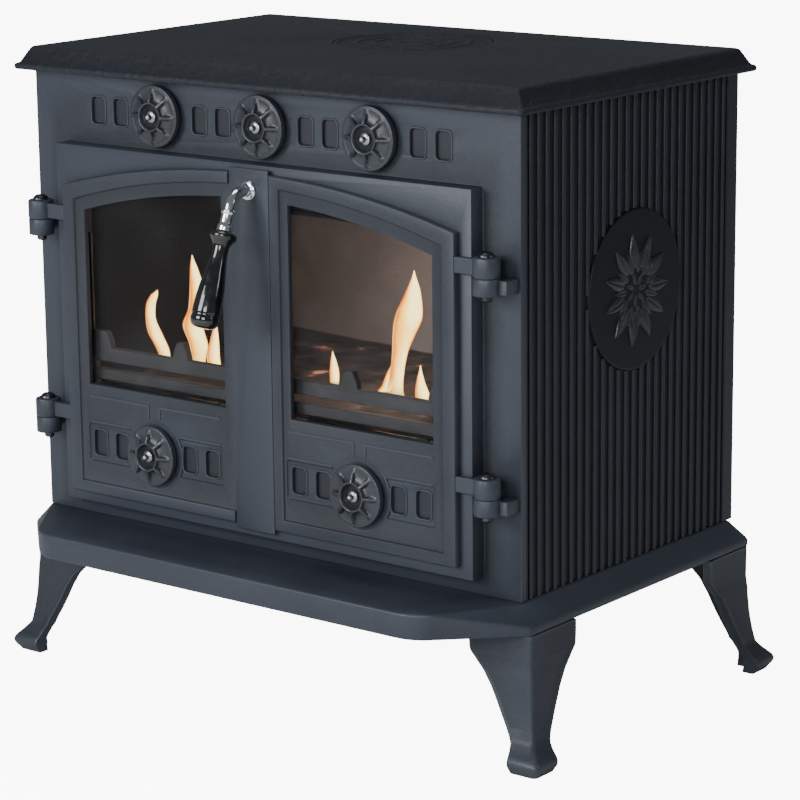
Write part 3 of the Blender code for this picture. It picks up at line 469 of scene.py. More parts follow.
# Painted shade: the medallion's leaves are as dark as the shaded side paint.
SHADED_LEAF_IRON = CastPaint("leaf_paint", "slate_iron", (0.014, 0.015, 0.020), 0.34, 0.0002, 0.50)
WHEEL_IRON = CastPaint("wheel_paint", "slate_iron", (0.024, 0.028, 0.036), 0.34, 0.00012, 0.50)
# Painted shade: a near black paint for the wheels' hollow dish.
DISH_SHADE_IRON = CastPaint("dish_paint", "slate_iron", (0.006, 0.007, 0.009), 0.45, 0.0002, 0.30)
BLACK_IRON = FireIron("fire_black", "fire_iron")
CHROME = Chrome("chrome_plate", "chrome")
GRIP = GlossGrip("gloss_black", "black_grip")
ZINC = ZincSteel("zinc_plate", "zinc_steel")
STUD = ZincSteel("bright_stud", "zinc_steel", (0.36, 0.37, 0.40))
PIN_STEEL = ZincSteel("pin_steel", "zinc_steel", (0.075, 0.082, 0.096))
BAR_STEEL = ZincSteel("bar_steel", "zinc_steel", (0.030, 0.030, 0.032))
# The side liners' board is near black, far darker than the back liner's grey board.
NEAR_BLACK_BRICK = Firebrick("sooted_brick", "firebrick", (0.006, 0.005, 0.004))
BACK_BRICK = Firebrick("grey_brick", "firebrick", (0.150, 0.130, 0.128), 0.299)
ROPE = RopeSeal("rope_knit", "seal_rope")
PANE = StoveGlass("clear_pane", "stove_glass")


# ------------------------------------------------------------------ meshes

def finished(work: bmesh.types.BMesh, name: str) -> bpy.types.Mesh:
    """Merge doubled points, face the shell outwards, and make the mesh.

    Args:
        work: The working mesh, which is freed.
        name: The mesh's name.

    Returns:
        The new mesh.
    """
    bmesh.ops.remove_doubles(work, verts=work.verts, dist=WELD)
    bmesh.ops.recalc_face_normals(work, faces=work.faces)
    mesh = bpy.data.meshes.new(name)
    work.to_mesh(mesh)
    work.free()
    return mesh


def shaded(mesh: bpy.types.Mesh, degrees: float = 40.0) -> bpy.types.Mesh:
    """Shade a mesh smooth, with its sharper edges kept."""
    mesh.shade_smooth()
    mesh.set_sharp_from_angle(angle=math.radians(degrees))
    return mesh


def loft(name: str, rings: Sequence[Sequence[Point]]) -> bpy.types.Mesh:
    """Join rings of equal count, and cap both ends."""
    work = bmesh.new()
    rows = [[work.verts.new(point) for point in ring] for ring in rings]
    count = len(rows[0])
    for lower, upper in zip(rows, rows[1:]):
        for i in range(count):
            k = (i + 1) % count
            work.faces.new((lower[i], lower[k], upper[k], upper[i]))
    work.faces.new(rows[0])
    work.faces.new(rows[-1])
    return finished(work, name)


def revolved(name: str, profile: Sequence[tuple[float, float]], segments: int = 48,
             closed: bool = False) -> bpy.types.Mesh:
    """Turn a profile of (radius, height) points about Z; a closed profile makes a ring with a bore."""
    work = bmesh.new()
    rows = []
    for radius, height in profile:
        if radius < WELD:
            rows.append([work.verts.new((0, 0, height))])
            continue
        angles = [FULL_TURN * i / segments for i in range(segments)]
        rows.append([work.verts.new((radius * math.cos(a), radius * math.sin(a), height)) for a in angles])
    pairs = list(zip(rows, rows[1:]))
    if closed:
        pairs.append((rows[-1], rows[0]))
    for first, second in pairs:
        for i in range(segments):
            k = (i + 1) % segments
            corners = [first[i % len(first)], first[k % len(first)], second[k % len(second)],
                       second[i % len(second)]]
            unique = list(dict.fromkeys(corners))
            if len(unique) > 2:
                work.faces.new(unique)
    return finished(work, name)


def rounded_profile(points: Sequence[tuple[float, float]], radius: float,
                    steps: int = 3) -> list[tuple[float, float]]:
    """Round the inner corners of an open profile.

    Args:
        points: The profile's points.
        radius: The wanted radius, made smaller where an edge is short.
        steps: Segments of each arc.

    Returns:
        The profile with arcs in place of its corners.
    """
    made = [points[0]]
    for before, corner, after in zip(points, points[1:], points[2:]):
        here = Vector(corner)
        back, ahead = Vector(before) - here, Vector(after) - here
        reach = min(radius, back.length * 0.45, ahead.length * 0.45)
        start, end = here + back.normalized() * reach, here + ahead.normalized() * reach
        for i in range(steps + 1):
            t = i / steps
            made.append(tuple((1 - t) ** 2 * start + 2 * t * (1 - t) * here + t * t * end))
    made.append(points[-1])
    return made


def rounded_rectangle(x0: float, x1: float, y0: float, y1: float, radius: float,
                      steps: int = 4) -> list[tuple[float, float]]:
    """Counter-clockwise points of a rectangle with round corners."""
    points = []
    for quarter, (x, y) in enumerate(((x1 - radius, y1 - radius), (x0 + radius, y1 - radius),
                                      (x0 + radius, y0 + radius), (x1 - radius, y0 + radius))):
        for i in range(steps + 1):
            angle = math.pi / 2 * (quarter + i / steps)
            points.append((x + radius * math.cos(angle), y + radius * math.sin(angle)))
    return points


def extruded(name: str, outline: Sequence[tuple[float, float]], low: float, high: float) -> bpy.types.Mesh:
    """A flat outline raised from one level to another along Z."""
    return loft(name, [[(x, y, z) for x, y in outline] for z in (low, high)])


def block(name: str, low: Point, high: Point) -> bpy.types.Mesh:
    """A box between two corners, to cut or join with."""
    return extruded(name, [(low[0], low[1]), (high[0], low[1]), (high[0], high[1]), (low[0], high[1])],
                    low[2], high[2])


def evaluated_mesh(holder: bpy.types.Object) -> bpy.types.Mesh:
    """The mesh that an object's modifiers give; the object is removed."""
    bpy.context.view_layer.update()
    depsgraph = bpy.context.evaluated_depsgraph_get()
    mesh = bpy.data.meshes.new_from_object(holder.evaluated_get(depsgraph), depsgraph=depsgraph)
    bpy.data.objects.remove(holder)
    return mesh


def holder_of(mesh: bpy.types.Mesh, name: str = "work") -> bpy.types.Object:
    """A working object that isn't a piece."""
    made = bpy.data.objects.new(name, mesh)
    bpy.context.scene.collection.objects.link(made)
    return made


def combined(mesh: bpy.types.Mesh, operation: str, tools: Iterable[bpy.types.Mesh]) -> bpy.types.Mesh:
    """Cut tools out of a mesh or join them to it.

    Args:
        mesh: The mesh to change.
        operation: DIFFERENCE or UNION.
        tools: Closed meshes.

    Returns:
        The new mesh.
    """
    holder = holder_of(mesh)
    cutters = [holder_of(tool, "tool") for tool in tools]
    for cutter in cutters:
        step = holder.modifiers.new("combine", "BOOLEAN")
        step.operation = operation
        step.object = cutter
        step.solver = "EXACT"
    made = evaluated_mesh(holder)
    for cutter in cutters:
        bpy.data.objects.remove(cutter)
    return made


def softened(mesh: bpy.types.Mesh, width: float, segments: int = 2, degrees: float = 30.0) -> bpy.types.Mesh:
    """Round a mesh's edges as a casting's are.

    Args:
        mesh: The sharp mesh.
        width: Width of the rounding.
        segments: Its segments.
        degrees: Edges that turn less than this stay.

    Returns:
        The rounded mesh with normals that keep its faces flat.
    """
    work = bmesh.new()
    work.from_mesh(mesh)
    bmesh.ops.remove_doubles(work, verts=work.verts, dist=WELD)
    bmesh.ops.dissolve_limit(work, angle_limit=math.radians(1.0), verts=work.verts, edges=work.edges)
    sharp = bpy.data.meshes.new(mesh.name)
    work.to_mesh(sharp)
    work.free()
    sharp.shade_smooth()
    holder = holder_of(sharp)
    step = holder.modifiers.new("round", "BEVEL")
    step.width = width
    step.segments = segments
    step.limit_method = "ANGLE"
    step.angle_limit = math.radians(degrees)
    step.use_clamp_overlap = False
    step.harden_normals = True
    return evaluated_mesh(holder)


def cad_copy(node: str) -> bpy.types.Mesh:
    """A copy of a CAD node's mesh with its loose triangles merged."""
    mesh = frame["nodes"][node].data.copy()
    mesh.materials.clear()
    work = bmesh.new()
    work.from_mesh(mesh)
    bmesh.ops.remove_doubles(work, verts=work.verts, dist=WELD)
    work.to_mesh(mesh)
    work.free()
    return mesh


def joined(name: str, meshes: Iterable[bpy.types.Mesh]) -> bpy.types.Mesh:
    """Several closed shells as one mesh."""
    work = bmesh.new()
    for mesh in meshes:
        work.from_mesh(mesh)
    made = bpy.data.meshes.new(name)
    work.to_mesh(made)
    work.free()
    return made


def present(name: str, mesh: bpy.types.Mesh, finish: Finish, body: str = "root",
            stands_for: Sequence[str] = ()) -> bpy.types.Object:
    """Add a finished piece to the stove.

    Args:
        name: The piece's name.
        mesh: Its mesh, in place.
        finish: Its finish.
        body: The CAD body that it rides on.
        stands_for: CAD nodes that it replaces.

    Returns:
        The piece.
    """
    mesh.name = name
    mesh.materials.clear()
    mesh.materials.append(finish.material())
    piece = bpy.data.objects.new(name, mesh)
    bpy.context.scene.collection.objects.link(piece)
    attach(piece, body)
    if stands_for:
        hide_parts(*stands_for)
    LOG.info("%s: %d faces on %s", name, len(mesh.polygons), body)
    return piece


def dress(node: str, finish: Finish) -> None:
    """Give a CAD node that stays its finish."""
    materials = frame["nodes"][node].data.materials
    materials.clear()
    materials.append(finish.material())
    LOG.info("%s: dressed in %s", node, finish.name)


def facing_front(x: float, y: float, z: float) -> Matrix:
    """Turns a shape's +Z to the front and puts it at a place."""
    return Matrix.Translation((x, y, z)) @ Matrix.Rotation(math.pi / 2, 4, "X")


def moved(mesh: bpy.types.Mesh, matrix: Matrix) -> bpy.types.Mesh:
    """Put a mesh in its place."""
    mesh.transform(matrix)
    return mesh


def joint_place(name: str) -> Vector:
    """Where a joint is."""
    return Vector(next(j["pos_m"] for j in frame["joints"] if j["name"] == name))


# ------------------------------------------------------------------ geometry nodes

class Recipe:
    """A Geometry Nodes tree built in the script, run once on a mesh of points."""

    def __init__(self, name: str, sizes: dict[str, float]) -> None:
        """Start a tree with one named input for each size."""
        self.tree = bpy.data.node_groups.new(name, "GeometryNodeTree")
        self.sizes = sizes
        interface = self.tree.interface
        interface.new_socket("Geometry", in_out="INPUT", socket_type="NodeSocketGeometry")
        interface.new_socket("Geometry", in_out="OUTPUT", socket_type="NodeSocketGeometry")
        for key in sizes:
            interface.new_socket(key, in_out="INPUT", socket_type="NodeSocketFloat")
        self.start = self.tree.nodes.new("NodeGroupInput")
        self.end = self.tree.nodes.new("NodeGroupOutput")

    def add(self, kind: str, settings: dict, inputs: dict) -> bpy.types.Node:
        """Add a node, set its settings first, and then its inputs to values or links."""
        made = self.tree.nodes.new(kind)
        for key, value in settings.items():
            setattr(made, key, value)
        for key, value in inputs.items():
            if isinstance(value, bpy.types.NodeSocket):
                self.tree.links.new(value, made.inputs[key])
            else:
                made.inputs[key].default_value = value
        return made

    def size(self, key: str) -> bpy.types.NodeSocket:
        """The socket of a named size."""
        return self.start.outputs[key]

    def maths(self, operation: str, first: object, second: object = 0.0) -> bpy.types.NodeSocket:
        """A Math node's output."""
        return self.add("ShaderNodeMath", {"operation": operation}, {0: first, 1: second}).outputs[0]

    def run(self, points: bpy.types.Mesh, last: bpy.types.NodeSocket, finish: Finish) -> bpy.types.Mesh:
        """End the tree in Realize Instances and Set Material, and run it.

        Args:
            points: The mesh that the tree starts from.
            last: The geometry to finish.
            finish: The finish of the result.

        Returns:
            A plain mesh.
        """
        real = self.add("GeometryNodeRealizeInstances", {}, {"Geometry": last})
        dressed = self.add("GeometryNodeSetMaterial", {}, {"Geometry": real.outputs[0],
                                                           "Material": finish.material()})
        self.tree.links.new(dressed.outputs[0], self.end.inputs[0])
        holder = holder_of(points, self.tree.name)
        step = holder.modifiers.new("recipe", "NODES")
        step.node_group = self.tree
        for item in self.tree.interface.items_tree:
            if item.in_out == "INPUT" and item.name in self.sizes:
                step[item.identifier] = self.sizes[item.name]
        return evaluated_mesh(holder)


def points_mesh(name: str, places: Iterable[Point]) -> bpy.types.Mesh:
    """A mesh of loose points."""
    mesh = bpy.data.meshes.new(name)
    mesh.from_pydata([tuple(place) for place in places], [], [])
    return mesh


def slot_borders(name: str, places: Sequence[Point], width: float, height: float,
                 finish: Finish) -> bpy.types.Mesh:
    """Raised borders round the slots of a front: one rounded frame swept with a bead at each point.

    Args:
        name: The tree's name.
        places: Middles of the slots on their face.
        width: Width of the border's middle line.
        height: Its height.
        finish: The finish of the result.

    Returns:
        The borders as one mesh.
    """
    recipe = Recipe(name, {"Width": width, "Height": height, "Corner": 0.0048, "Bead": 0.0011})
    outline = recipe.add("GeometryNodeCurvePrimitiveQuadrilateral", {},
                         {"Width": recipe.size("Width"), "Height": recipe.size("Height")})
    soft = recipe.add("GeometryNodeFilletCurve", {}, {"Curve": outline.outputs[0], "Radius": recipe.size("Corner")})
    choose(soft, "POLY", 5)
    bead = recipe.add("GeometryNodeCurvePrimitiveCircle", {}, {"Resolution": 8, "Radius": recipe.size("Bead")})
    swept = recipe.add("GeometryNodeCurveToMesh", {}, {"Curve": soft.outputs[0], "Profile Curve": bead.outputs[0]})
    upright = recipe.add("GeometryNodeTransform", {}, {"Geometry": swept.outputs[0],
                                                       "Rotation": (math.pi / 2, 0.0, 0.0)})
    spread = recipe.add("GeometryNodeInstanceOnPoints", {}, {"Points": recipe.start.outputs[0],
                                                             "Instance": upright.outputs[0]})
    return shaded(recipe.run(points_mesh(name, places), spread.outputs[0], finish), 60)


def choose(fillet: bpy.types.Node, mode: str, count: int) -> None:
    """Set a Fillet Curve node to straight segments, by its property or by its menu socket."""
    if hasattr(fillet, "mode"):
        fillet.mode = mode
    fillet.inputs["Count"].default_value = count


def screw_heads(name: str, places: Sequence[Point], radius: float, turn: Matrix,
                finish: Finish) -> bpy.types.Mesh:
    """Low domed screw heads, one at each point."""
    recipe = Recipe(name, {"Radius": radius, "Rise": radius * 0.45})
    dome = recipe.add("GeometryNodeMeshUVSphere", {}, {"Segments": 16, "Rings": 8, "Radius": recipe.size("Radius")})
    flat = recipe.add("ShaderNodeCombineXYZ", {}, {0: 1.0, 1: 1.0, 2: 0.45})
    low = recipe.add("GeometryNodeTransform", {}, {"Geometry": dome.outputs[0], "Scale": flat.outputs[0]})
    way = turn.to_euler()
    facing = recipe.add("GeometryNodeTransform", {}, {"Geometry": low.outputs[0], "Rotation": tuple(way)})
    spread = recipe.add("GeometryNodeInstanceOnPoints", {}, {"Points": recipe.start.outputs[0],
                                                             "Instance": facing.outputs[0]})
    return shaded(recipe.run(points_mesh(name, places), spread.outputs[0], finish), 60)


# ------------------------------------------------------------------ castings of the body

def front_plane() -> float:
    """Y of the front plate's face, which the wheels stand off from."""
    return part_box("air_wheel_top_middle")[1].y + WHEEL_GAP


def slot_tool(x: float, y: float, z: float) -> bpy.types.Mesh:
    """A tool for a round-cornered slot of 3 mm in a face at Y."""
    rings = []
    for depth, grow in SLOT_STEPS:
        wide, tall = SLOT_HALF[0] + grow, SLOT_HALF[1] + grow
        plan = rounded_rectangle(x - wide, x + wide, z - tall, z + tall, SLOT_CORNER + grow)
        rings.append([(a, y + depth, b) for a, b in plan])
    return loft("slot", rings)


@dataclass
class Lid:
    """The top plate with its sloping edge, and the cover over the top flue hole."""

    corner: float = 0.004
    sink: float = 0.0014

    def build(self) -> None:
        """Build the lid and its cover."""
        low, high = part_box("top_plate")
        steps = ((0.0030, 0.0), (0.0012, 0.0004), (0.0003, 0.0015), (0.0, 0.0032), (0.0003, 0.0049),
                 (0.0012, 0.0061), (0.0030, 0.0067), (0.0046, 0.0075), (0.0118, 0.0196), (0.0128, 0.0214),
                 (0.0142, 0.0228), (0.0162, 0.0235))
        rings = []
        for inset, level in steps:
            plan = rounded_rectangle(low.x + inset, high.x - inset, low.y + inset, high.y - inset,
                                     max(0.0015, self.corner - inset * 0.2))
            rings.append([(x, y, low.z + level) for x, y in plan])
        lid = loft("lid", rings)
        cover_low, cover_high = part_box("flue_blanking_plate")
        centre = (cover_low + cover_high) / 2
        radius = (cover_high.x - cover_low.x) / 2
        seat, bore, shelf = radius + 0.0006, radius - 0.0094, high.z - 0.005
        step = [(0, low.z - 0.01), (bore, low.z - 0.01), (bore, shelf), (seat, shelf), (seat, high.z + 0.01),
                (0, high.z + 0.01)]
        hole = moved(revolved("hole", step, 64), Matrix.Translation((centre.x, centre.y, 0)))
        under = block("under", (low.x + 0.034, low.y + 0.034, low.z - 0.01),
                      (high.x - 0.034, high.y - 0.030, high.z - 0.010))
        lid = combined(lid, "DIFFERENCE", [hole, under])
        present("lid_casting", shaded(lid, 35), SHADED_LID_IRON, stands_for=["top_plate"])
        self._cover(centre, radius, cover_high.z)

    def _cover(self, centre: Vector, radius: float, top: float) -> None:
        """The round cover, with low turned rings."""
        floor = top - self.sink
        profile = [(0, floor), (0.012, floor), (0.014, top), (0.020, top), (0.022, floor)]
        for middle in (0.040, 0.058):
            profile += [(middle - 0.004, floor), (middle - 0.002, top), (middle + 0.002, top),
                        (middle + 0.004, floor)]
        profile += [(radius - 0.006, floor), (radius - 0.004, top), (radius - 0.0006, top),
                    (radius, top - 0.0006), (radius, top - 0.0047), (radius - 0.0136, top - 0.0047),
                    (radius - 0.0136, top - 0.0080), (0, top - 0.0080)]
        cover = moved(revolved("cover", rounded_profile(profile, 0.0008, 2), 64),
                      Matrix.Translation((centre.x, centre.y, 0)))
        present("flue_cover", shaded(cover, 35), SHADED_LID_IRON, stands_for=["flue_blanking_plate"])
        dress("blanking_plate_clamp", ZINC)


@dataclass
class Hearth:
    """The base plate, the four legs and the tie rods."""

    edge: float = 0.0022
    levels: int = 44
    ridge: float = 0.005
    throw: float = 0.022
    sections: tuple[tuple[float, float, float, float], ...] = (
        (0.1317, 0.073, 0.000, 0.009), (0.108, 0.072, 0.000, 0.009), (0.101, 0.066, 0.000, 0.009),
        (0.090, 0.055, 0.001, 0.009), (0.076, 0.045, 0.002, 0.010), (0.054, 0.033, 0.004, 0.011),
        (0.030, 0.020, 0.008, 0.012), (0.022, 0.016, 0.014, 0.014), (0.014, 0.014, 0.021, 0.017),
        (0.008, 0.0138, 0.0213, 0.0172), (0.000, 0.0136, 0.0160, 0.0135),
    )

    def build(self) -> None:
        """Build the plate and the legs."""
        plate = softened(cad_copy("base_plate"), self.edge, 3, 35)
        present("hearth_plate", plate, HEARTH_IRON, stands_for=["base_plate"])
        for end in ("front", "rear"):
            for side in Side:
                self._leg(end, side)
                dress(f"tie_rod_{end}_{side.word}", ZINC)

    def _section(self, level: float) -> list[float]:
        """Inner edge, throw and wall at a level, on a smooth curve through the sections."""
        rows = self.sections
        for i in range(len(rows) - 1):
            if level >= rows[i + 1][0]:
                break
        before, after = rows[max(i - 1, 0)], rows[min(i + 2, len(rows) - 1)]
        first, second = rows[i], rows[i + 1]
        t = (first[0] - level) / (first[0] - second[0])
        values = []
        for k in (1, 2, 3):
            start = (second[k] - before[k]) / 2 if i else 0.0
            end = (after[k] - first[k]) / 2
            values.append((2 * t ** 3 - 3 * t ** 2 + 1) * first[k] + (t ** 3 - 2 * t ** 2 + t) * start
                          + (3 * t ** 2 - 2 * t ** 3) * second[k] + (t ** 3 - t ** 2) * end)
        return values

    def _leg(self, end: str, side: Side) -> None:
        """One leg: an angle section along a cabriole curve, with a rim bead at its free edges."""
        name = f"{end}_{side.word}_leg"
        low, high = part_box(name)
        sx, sy = side.value, -1 if end == "front" else 1
        x0 = (high.x if sx > 0 else low.x) - sx * self.throw
        y0 = (high.y if sy > 0 else low.y) - sy * self.throw
        rings = []
        for n in range(self.levels + 1):
            level = self.sections[0][0] * n / self.levels
            inner, out, wall = self._section(level)
            ridge = min(self.ridge, wall * 0.5)
            arc = [(out - ridge + ridge * math.cos(a), out - ridge + ridge * math.sin(a))
                   for a in (math.pi / 2 * i / 4 for i in range(5))]
            soft, bead = 0.0014, 0.0013 * min(1.0, max(0.0, (level - 0.018) / 0.02))
            half = [(out, -inner + 0.0056), (out + bead * 0.8, -inner + 0.0042), (out + bead, -inner + 0.0028),
                    (out + bead * 0.8, -inner + 0.0012), (out - 0.0006, -inner + 0.0003), (out - 0.0016, -inner),
                    (out - wall + soft, -inner), (out - wall, -inner + soft)]
            section = [(b, a) for a, b in reversed(half)] + list(reversed(arc)) + half
            section += [(out - wall, out - wall)]
            rings.append([(x0 + sx * a, y0 + sy * b, level) for a, b in section])
        leg = loft(name, rings)
        reach, wall, shelf = 0.060, 0.004, (0.123, 0.1307)
        lug = [(wall, wall), (reach, wall), (reach, 0.036), (0.036, reach), (wall, reach)]
        outline = [(x0 - sx * a, y0 - sy * b) for a, b in lug]
        rod = (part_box(f"tie_rod_{end}_{side.word}")[0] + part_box(f"tie_rod_{end}_{side.word}")[1]) / 2
        leg = combined(leg, "UNION", [extruded("lug", outline, *shelf)])
        hole = revolved("hole", [(0, 0.10), (0.0043, 0.10), (0.0043, 0.15), (0, 0.15)], 24)
        leg = combined(leg, "DIFFERENCE", [moved(hole, Matrix.Translation((rod.x, rod.y, 0)))])
        present(f"{name}_casting", shaded(leg, 38), HEARTH_IRON, stands_for=[name])


@dataclass
class Front:
    """The front casting with its mock slots."""

    slots: tuple[float, ...] = (0.0525, 0.0825, 0.1875, 0.2175)

    def build(self) -> None:
        """Build the casting and the borders round its slots."""
        face, middle = front_plane(), joint_place("wheel_top_middle_turn").z - 0.001
        places = [(side.value * x, face, middle) for x in self.slots for side in Side]
        plugs = [block("plug", (x - 0.0095, y, z - 0.0155), (x + 0.0095, y + 0.0040, z + 0.0135))
                 for x, y, z in places]
        casting = softened(combined(cad_copy("front_casting"), "UNION", plugs), 0.0011, 2, 32)
        casting = combined(casting, "DIFFERENCE", [slot_tool(*place) for place in places])
        present("front_plate_casting", shaded(casting, 32), IRON, stands_for=["front_casting"])
        borders = slot_borders("band_slot_borders", places, 0.0196, 0.0286, IRON)
        present("band_slot_borders", borders, IRON)


@dataclass
class SidePanels:
    """Fluted sides, with a medallion of leaves on each."""

    flutes: int = 26
    first: float = 0.017
    last: float = 0.343
    rise: float = 0.0031
    half_width: float = 0.0024
    disc: float = 0.0785
    disc_height: float = 0.428
    disc_depth: float = 0.187

    def build(self) -> None:
        """Build both sides."""
        for side in Side:
            self._side(side)

    def _side(self, side: Side) -> None:
        """One panel: its plate, flutes and medallion."""
        node = f"{side.word}_side_panel"
        low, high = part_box(node)
        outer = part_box("front_casting")[1].x
        valley = outer - 0.003
        front_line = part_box("back_panel")[1].y - 0.368
        sx = side.value
        plan = [(outer - 0.010, low.y), (outer - 0.0008, low.y), (outer, low.y + 0.0008),
                (outer, front_line + self.first - 0.0075), (outer - 0.0008, front_line + self.first - 0.0064),
                (valley, front_line + self.first - 0.0058), (valley, front_line + self.last + 0.0058),
                (outer - 0.0008, front_line + self.last + 0.0064), (outer, front_line + self.last + 0.0075),
                (outer, high.y - 0.001), (outer - 0.001, high.y), (outer - 0.010, high.y)]
        plate = extruded(node, [(sx * x, y) for x, y in plan], low.z, high.z)
        centre = Vector((sx * outer, front_line + self.disc_depth, self.disc_height))
        turn = Matrix.Translation(centre) @ Matrix.Rotation(sx * math.pi / 2, 4, "Y")
        present(f"{node}_plate", shaded(plate, 30), SHADED_SIDE_IRON, stands_for=[node])
        self._flutes(side, valley, front_line, low.z, high.z, centre)
        disc = [(0, -0.006), (self.disc, -0.006), (self.disc, -0.0002), (self.disc - 0.0004, 0.0004),
                (self.disc - 0.0012, 0.0008), (self.disc - 0.0030, 0.0009), (0.0, 0.0009)]
        disc = moved(revolved("disc", disc, 72), turn)
        present(f"{side.word}_medallion", shaded(disc, 35), SHADED_DISC_IRON)
        self._leaves(side, turn)

    def _flutes(self, side: Side, valley: float, front_line: float, low: float, high: float,
                centre: Vector) -> None:
        """Half-round flutes that stop at the medallion, one tree for the side."""
        pitch = (self.last - self.first) / (self.flutes - 1)
        recipe = Recipe(f"{side.word}_flutes", {"Half width": self.half_width, "Rise": self.rise, "Low": low,
                                                "High": high, "Disc": self.disc + 0.0005,
                                                "Disc level": centre.z, "Disc depth": centre.y})
        position = recipe.add("GeometryNodeInputPosition", {}, {})
        parts = recipe.add("ShaderNodeSeparateXYZ", {}, {0: position.outputs[0]})
        away = recipe.maths("SUBTRACT", parts.outputs[1], recipe.size("Disc depth"))
        square = recipe.maths("SUBTRACT", recipe.maths("MULTIPLY", recipe.size("Disc"), recipe.size("Disc")),
                              recipe.maths("MULTIPLY", away, away))
        reach = recipe.maths("SQRT", recipe.maths("MAXIMUM", square, 0.0))
        clear = recipe.maths("GREATER_THAN", 0.0, square)
        lower_end = recipe.maths("ADD", recipe.maths("SUBTRACT", recipe.size("Disc level"), reach), 0.0)
        whole = recipe.maths("MULTIPLY", clear, recipe.maths("SUBTRACT", recipe.size("High"), lower_end))
        lower_length = recipe.maths("SUBTRACT", recipe.maths("ADD", lower_end, whole), recipe.size("Low"))
        upper_length = recipe.maths("SUBTRACT", recipe.maths("SUBTRACT", recipe.size("High"), reach),
                                    recipe.size("Disc level"))
        bar = recipe.add("GeometryNodeCurvePrimitiveLine", {}, {"Start": (0, 0, 0), "End": (0, 0, 1)})
        bars = []
        for length, from_top in ((lower_length, False), (upper_length, True)):
            sign = -1.0 if from_top else 1.0
            scale = recipe.add("ShaderNodeCombineXYZ", {}, {0: 1.0, 1: 1.0,
                                                            2: recipe.maths("MULTIPLY", length, sign)})
            keep = recipe.maths("SUBTRACT", 1.0, clear) if from_top else 1.0
            points = recipe.start.outputs[0]
            if from_top:
                lift = recipe.add("ShaderNodeCombineXYZ", {}, {2: recipe.maths(
                    "SUBTRACT", recipe.size("High"), recipe.size("Low"))})
                points = recipe.add("GeometryNodeSetPosition", {}, {"Geometry": points,
                                                                    "Offset": lift.outputs[0]}).outputs[0]
            inputs = {"Points": points, "Instance": bar.outputs[0], "Scale": scale.outputs[0]}
            if from_top:
                inputs["Selection"] = keep
            bars.append(recipe.add("GeometryNodeInstanceOnPoints", {}, inputs).outputs[0])
        both = recipe.add("GeometryNodeJoinGeometry", {}, {})
        for part in bars:
            recipe.tree.links.new(part, both.inputs[0])
        real = recipe.add("GeometryNodeRealizeInstances", {}, {"Geometry": both.outputs[0]})
        ring = recipe.add("GeometryNodeCurvePrimitiveCircle", {}, {"Resolution": 14,
                                                                   "Radius": recipe.size("Half width")})
        shape = recipe.add("ShaderNodeCombineXYZ", {}, {0: 1.0, 1: 1.0, 2: 1.0})
        oval = recipe.add("GeometryNodeTransform", {}, {"Geometry": ring.outputs[0], "Scale": shape.outputs[0]})
        swept = recipe.add("GeometryNodeCurveToMesh", {}, {"Curve": real.outputs[0],
                                                           "Profile Curve": oval.outputs[0], "Fill Caps": True})
        places = [(side.value * (valley - self.half_width + self.rise), front_line + self.first + pitch * i, low)
                  for i in range(self.flutes)]
        flutes = recipe.run(points_mesh("flute_feet", places), swept.outputs[0], SHADED_SIDE_IRON)
        present(f"{side.word}_side_flutes", shaded(flutes, 50), SHADED_SIDE_IRON)

    def _leaves(self, side: Side, turn: Matrix) -> None:
        """A crown of cast leaves round a bud, low and plain."""
        leaf = bmesh.new()
        length, width, height, rows, columns = 0.036, 0.0085, 0.0048, 14, 10
        grid = []
        for i in range(rows + 1):
            t = i / rows
            half = width * math.sin(math.pi * t ** 0.75) ** 0.9 * (1 - 0.25 * t) if 0 < t < 1 else 0.0
            line = []
            for k in range(columns + 1):
                u = k / columns * 2 - 1
                vein = 0.30 * math.exp(-(u / 0.16) ** 2)
                rise = height * math.sin(math.pi * min(max(t, 0), 1)) ** 0.5 * (1 - u * u) ** 0.5 * (0.85 - vein)
                line.append((u * half, t * length, max(0.0, rise)))
            grid.append(line)
        top = [[leaf.verts.new(p) for p in line] for line in grid]
        bottom = [[leaf.verts.new((p[0], p[1], -0.0015)) for p in line] for line in grid]
        for i in range(rows):
            for k in range(columns):
                leaf.faces.new((top[i][k], top[i][k + 1], top[i + 1][k + 1], top[i + 1][k]))
                leaf.faces.new((bottom[i][k + 1], bottom[i][k], bottom[i + 1][k], bottom[i + 1][k + 1]))
            for k in (0, columns):
                leaf.faces.new((top[i][k], top[i + 1][k], bottom[i + 1][k], bottom[i][k]))
        shape = finished(leaf, "leaf")
        shells = []
        for count, inner, size, start in ((11, 0.020, 1.0, 0.0), (11, 0.016, 0.62, 0.286), (7, 0.004, 0.42, 0.1)):
            for i in range(count):
                copy = shape.copy()
                spoke = (Matrix.Rotation(start + FULL_TURN * i / count, 4, "Z")
                         @ Matrix.Translation((0, inner, 0.0004)) @ Matrix.Diagonal((size, size, size, 1)))
                shells.append(moved(copy, turn @ spoke))
        present(f"{side.word}_medallion_leaves", shaded(joined("leaves", shells), 50), SHADED_LEAF_IRON)


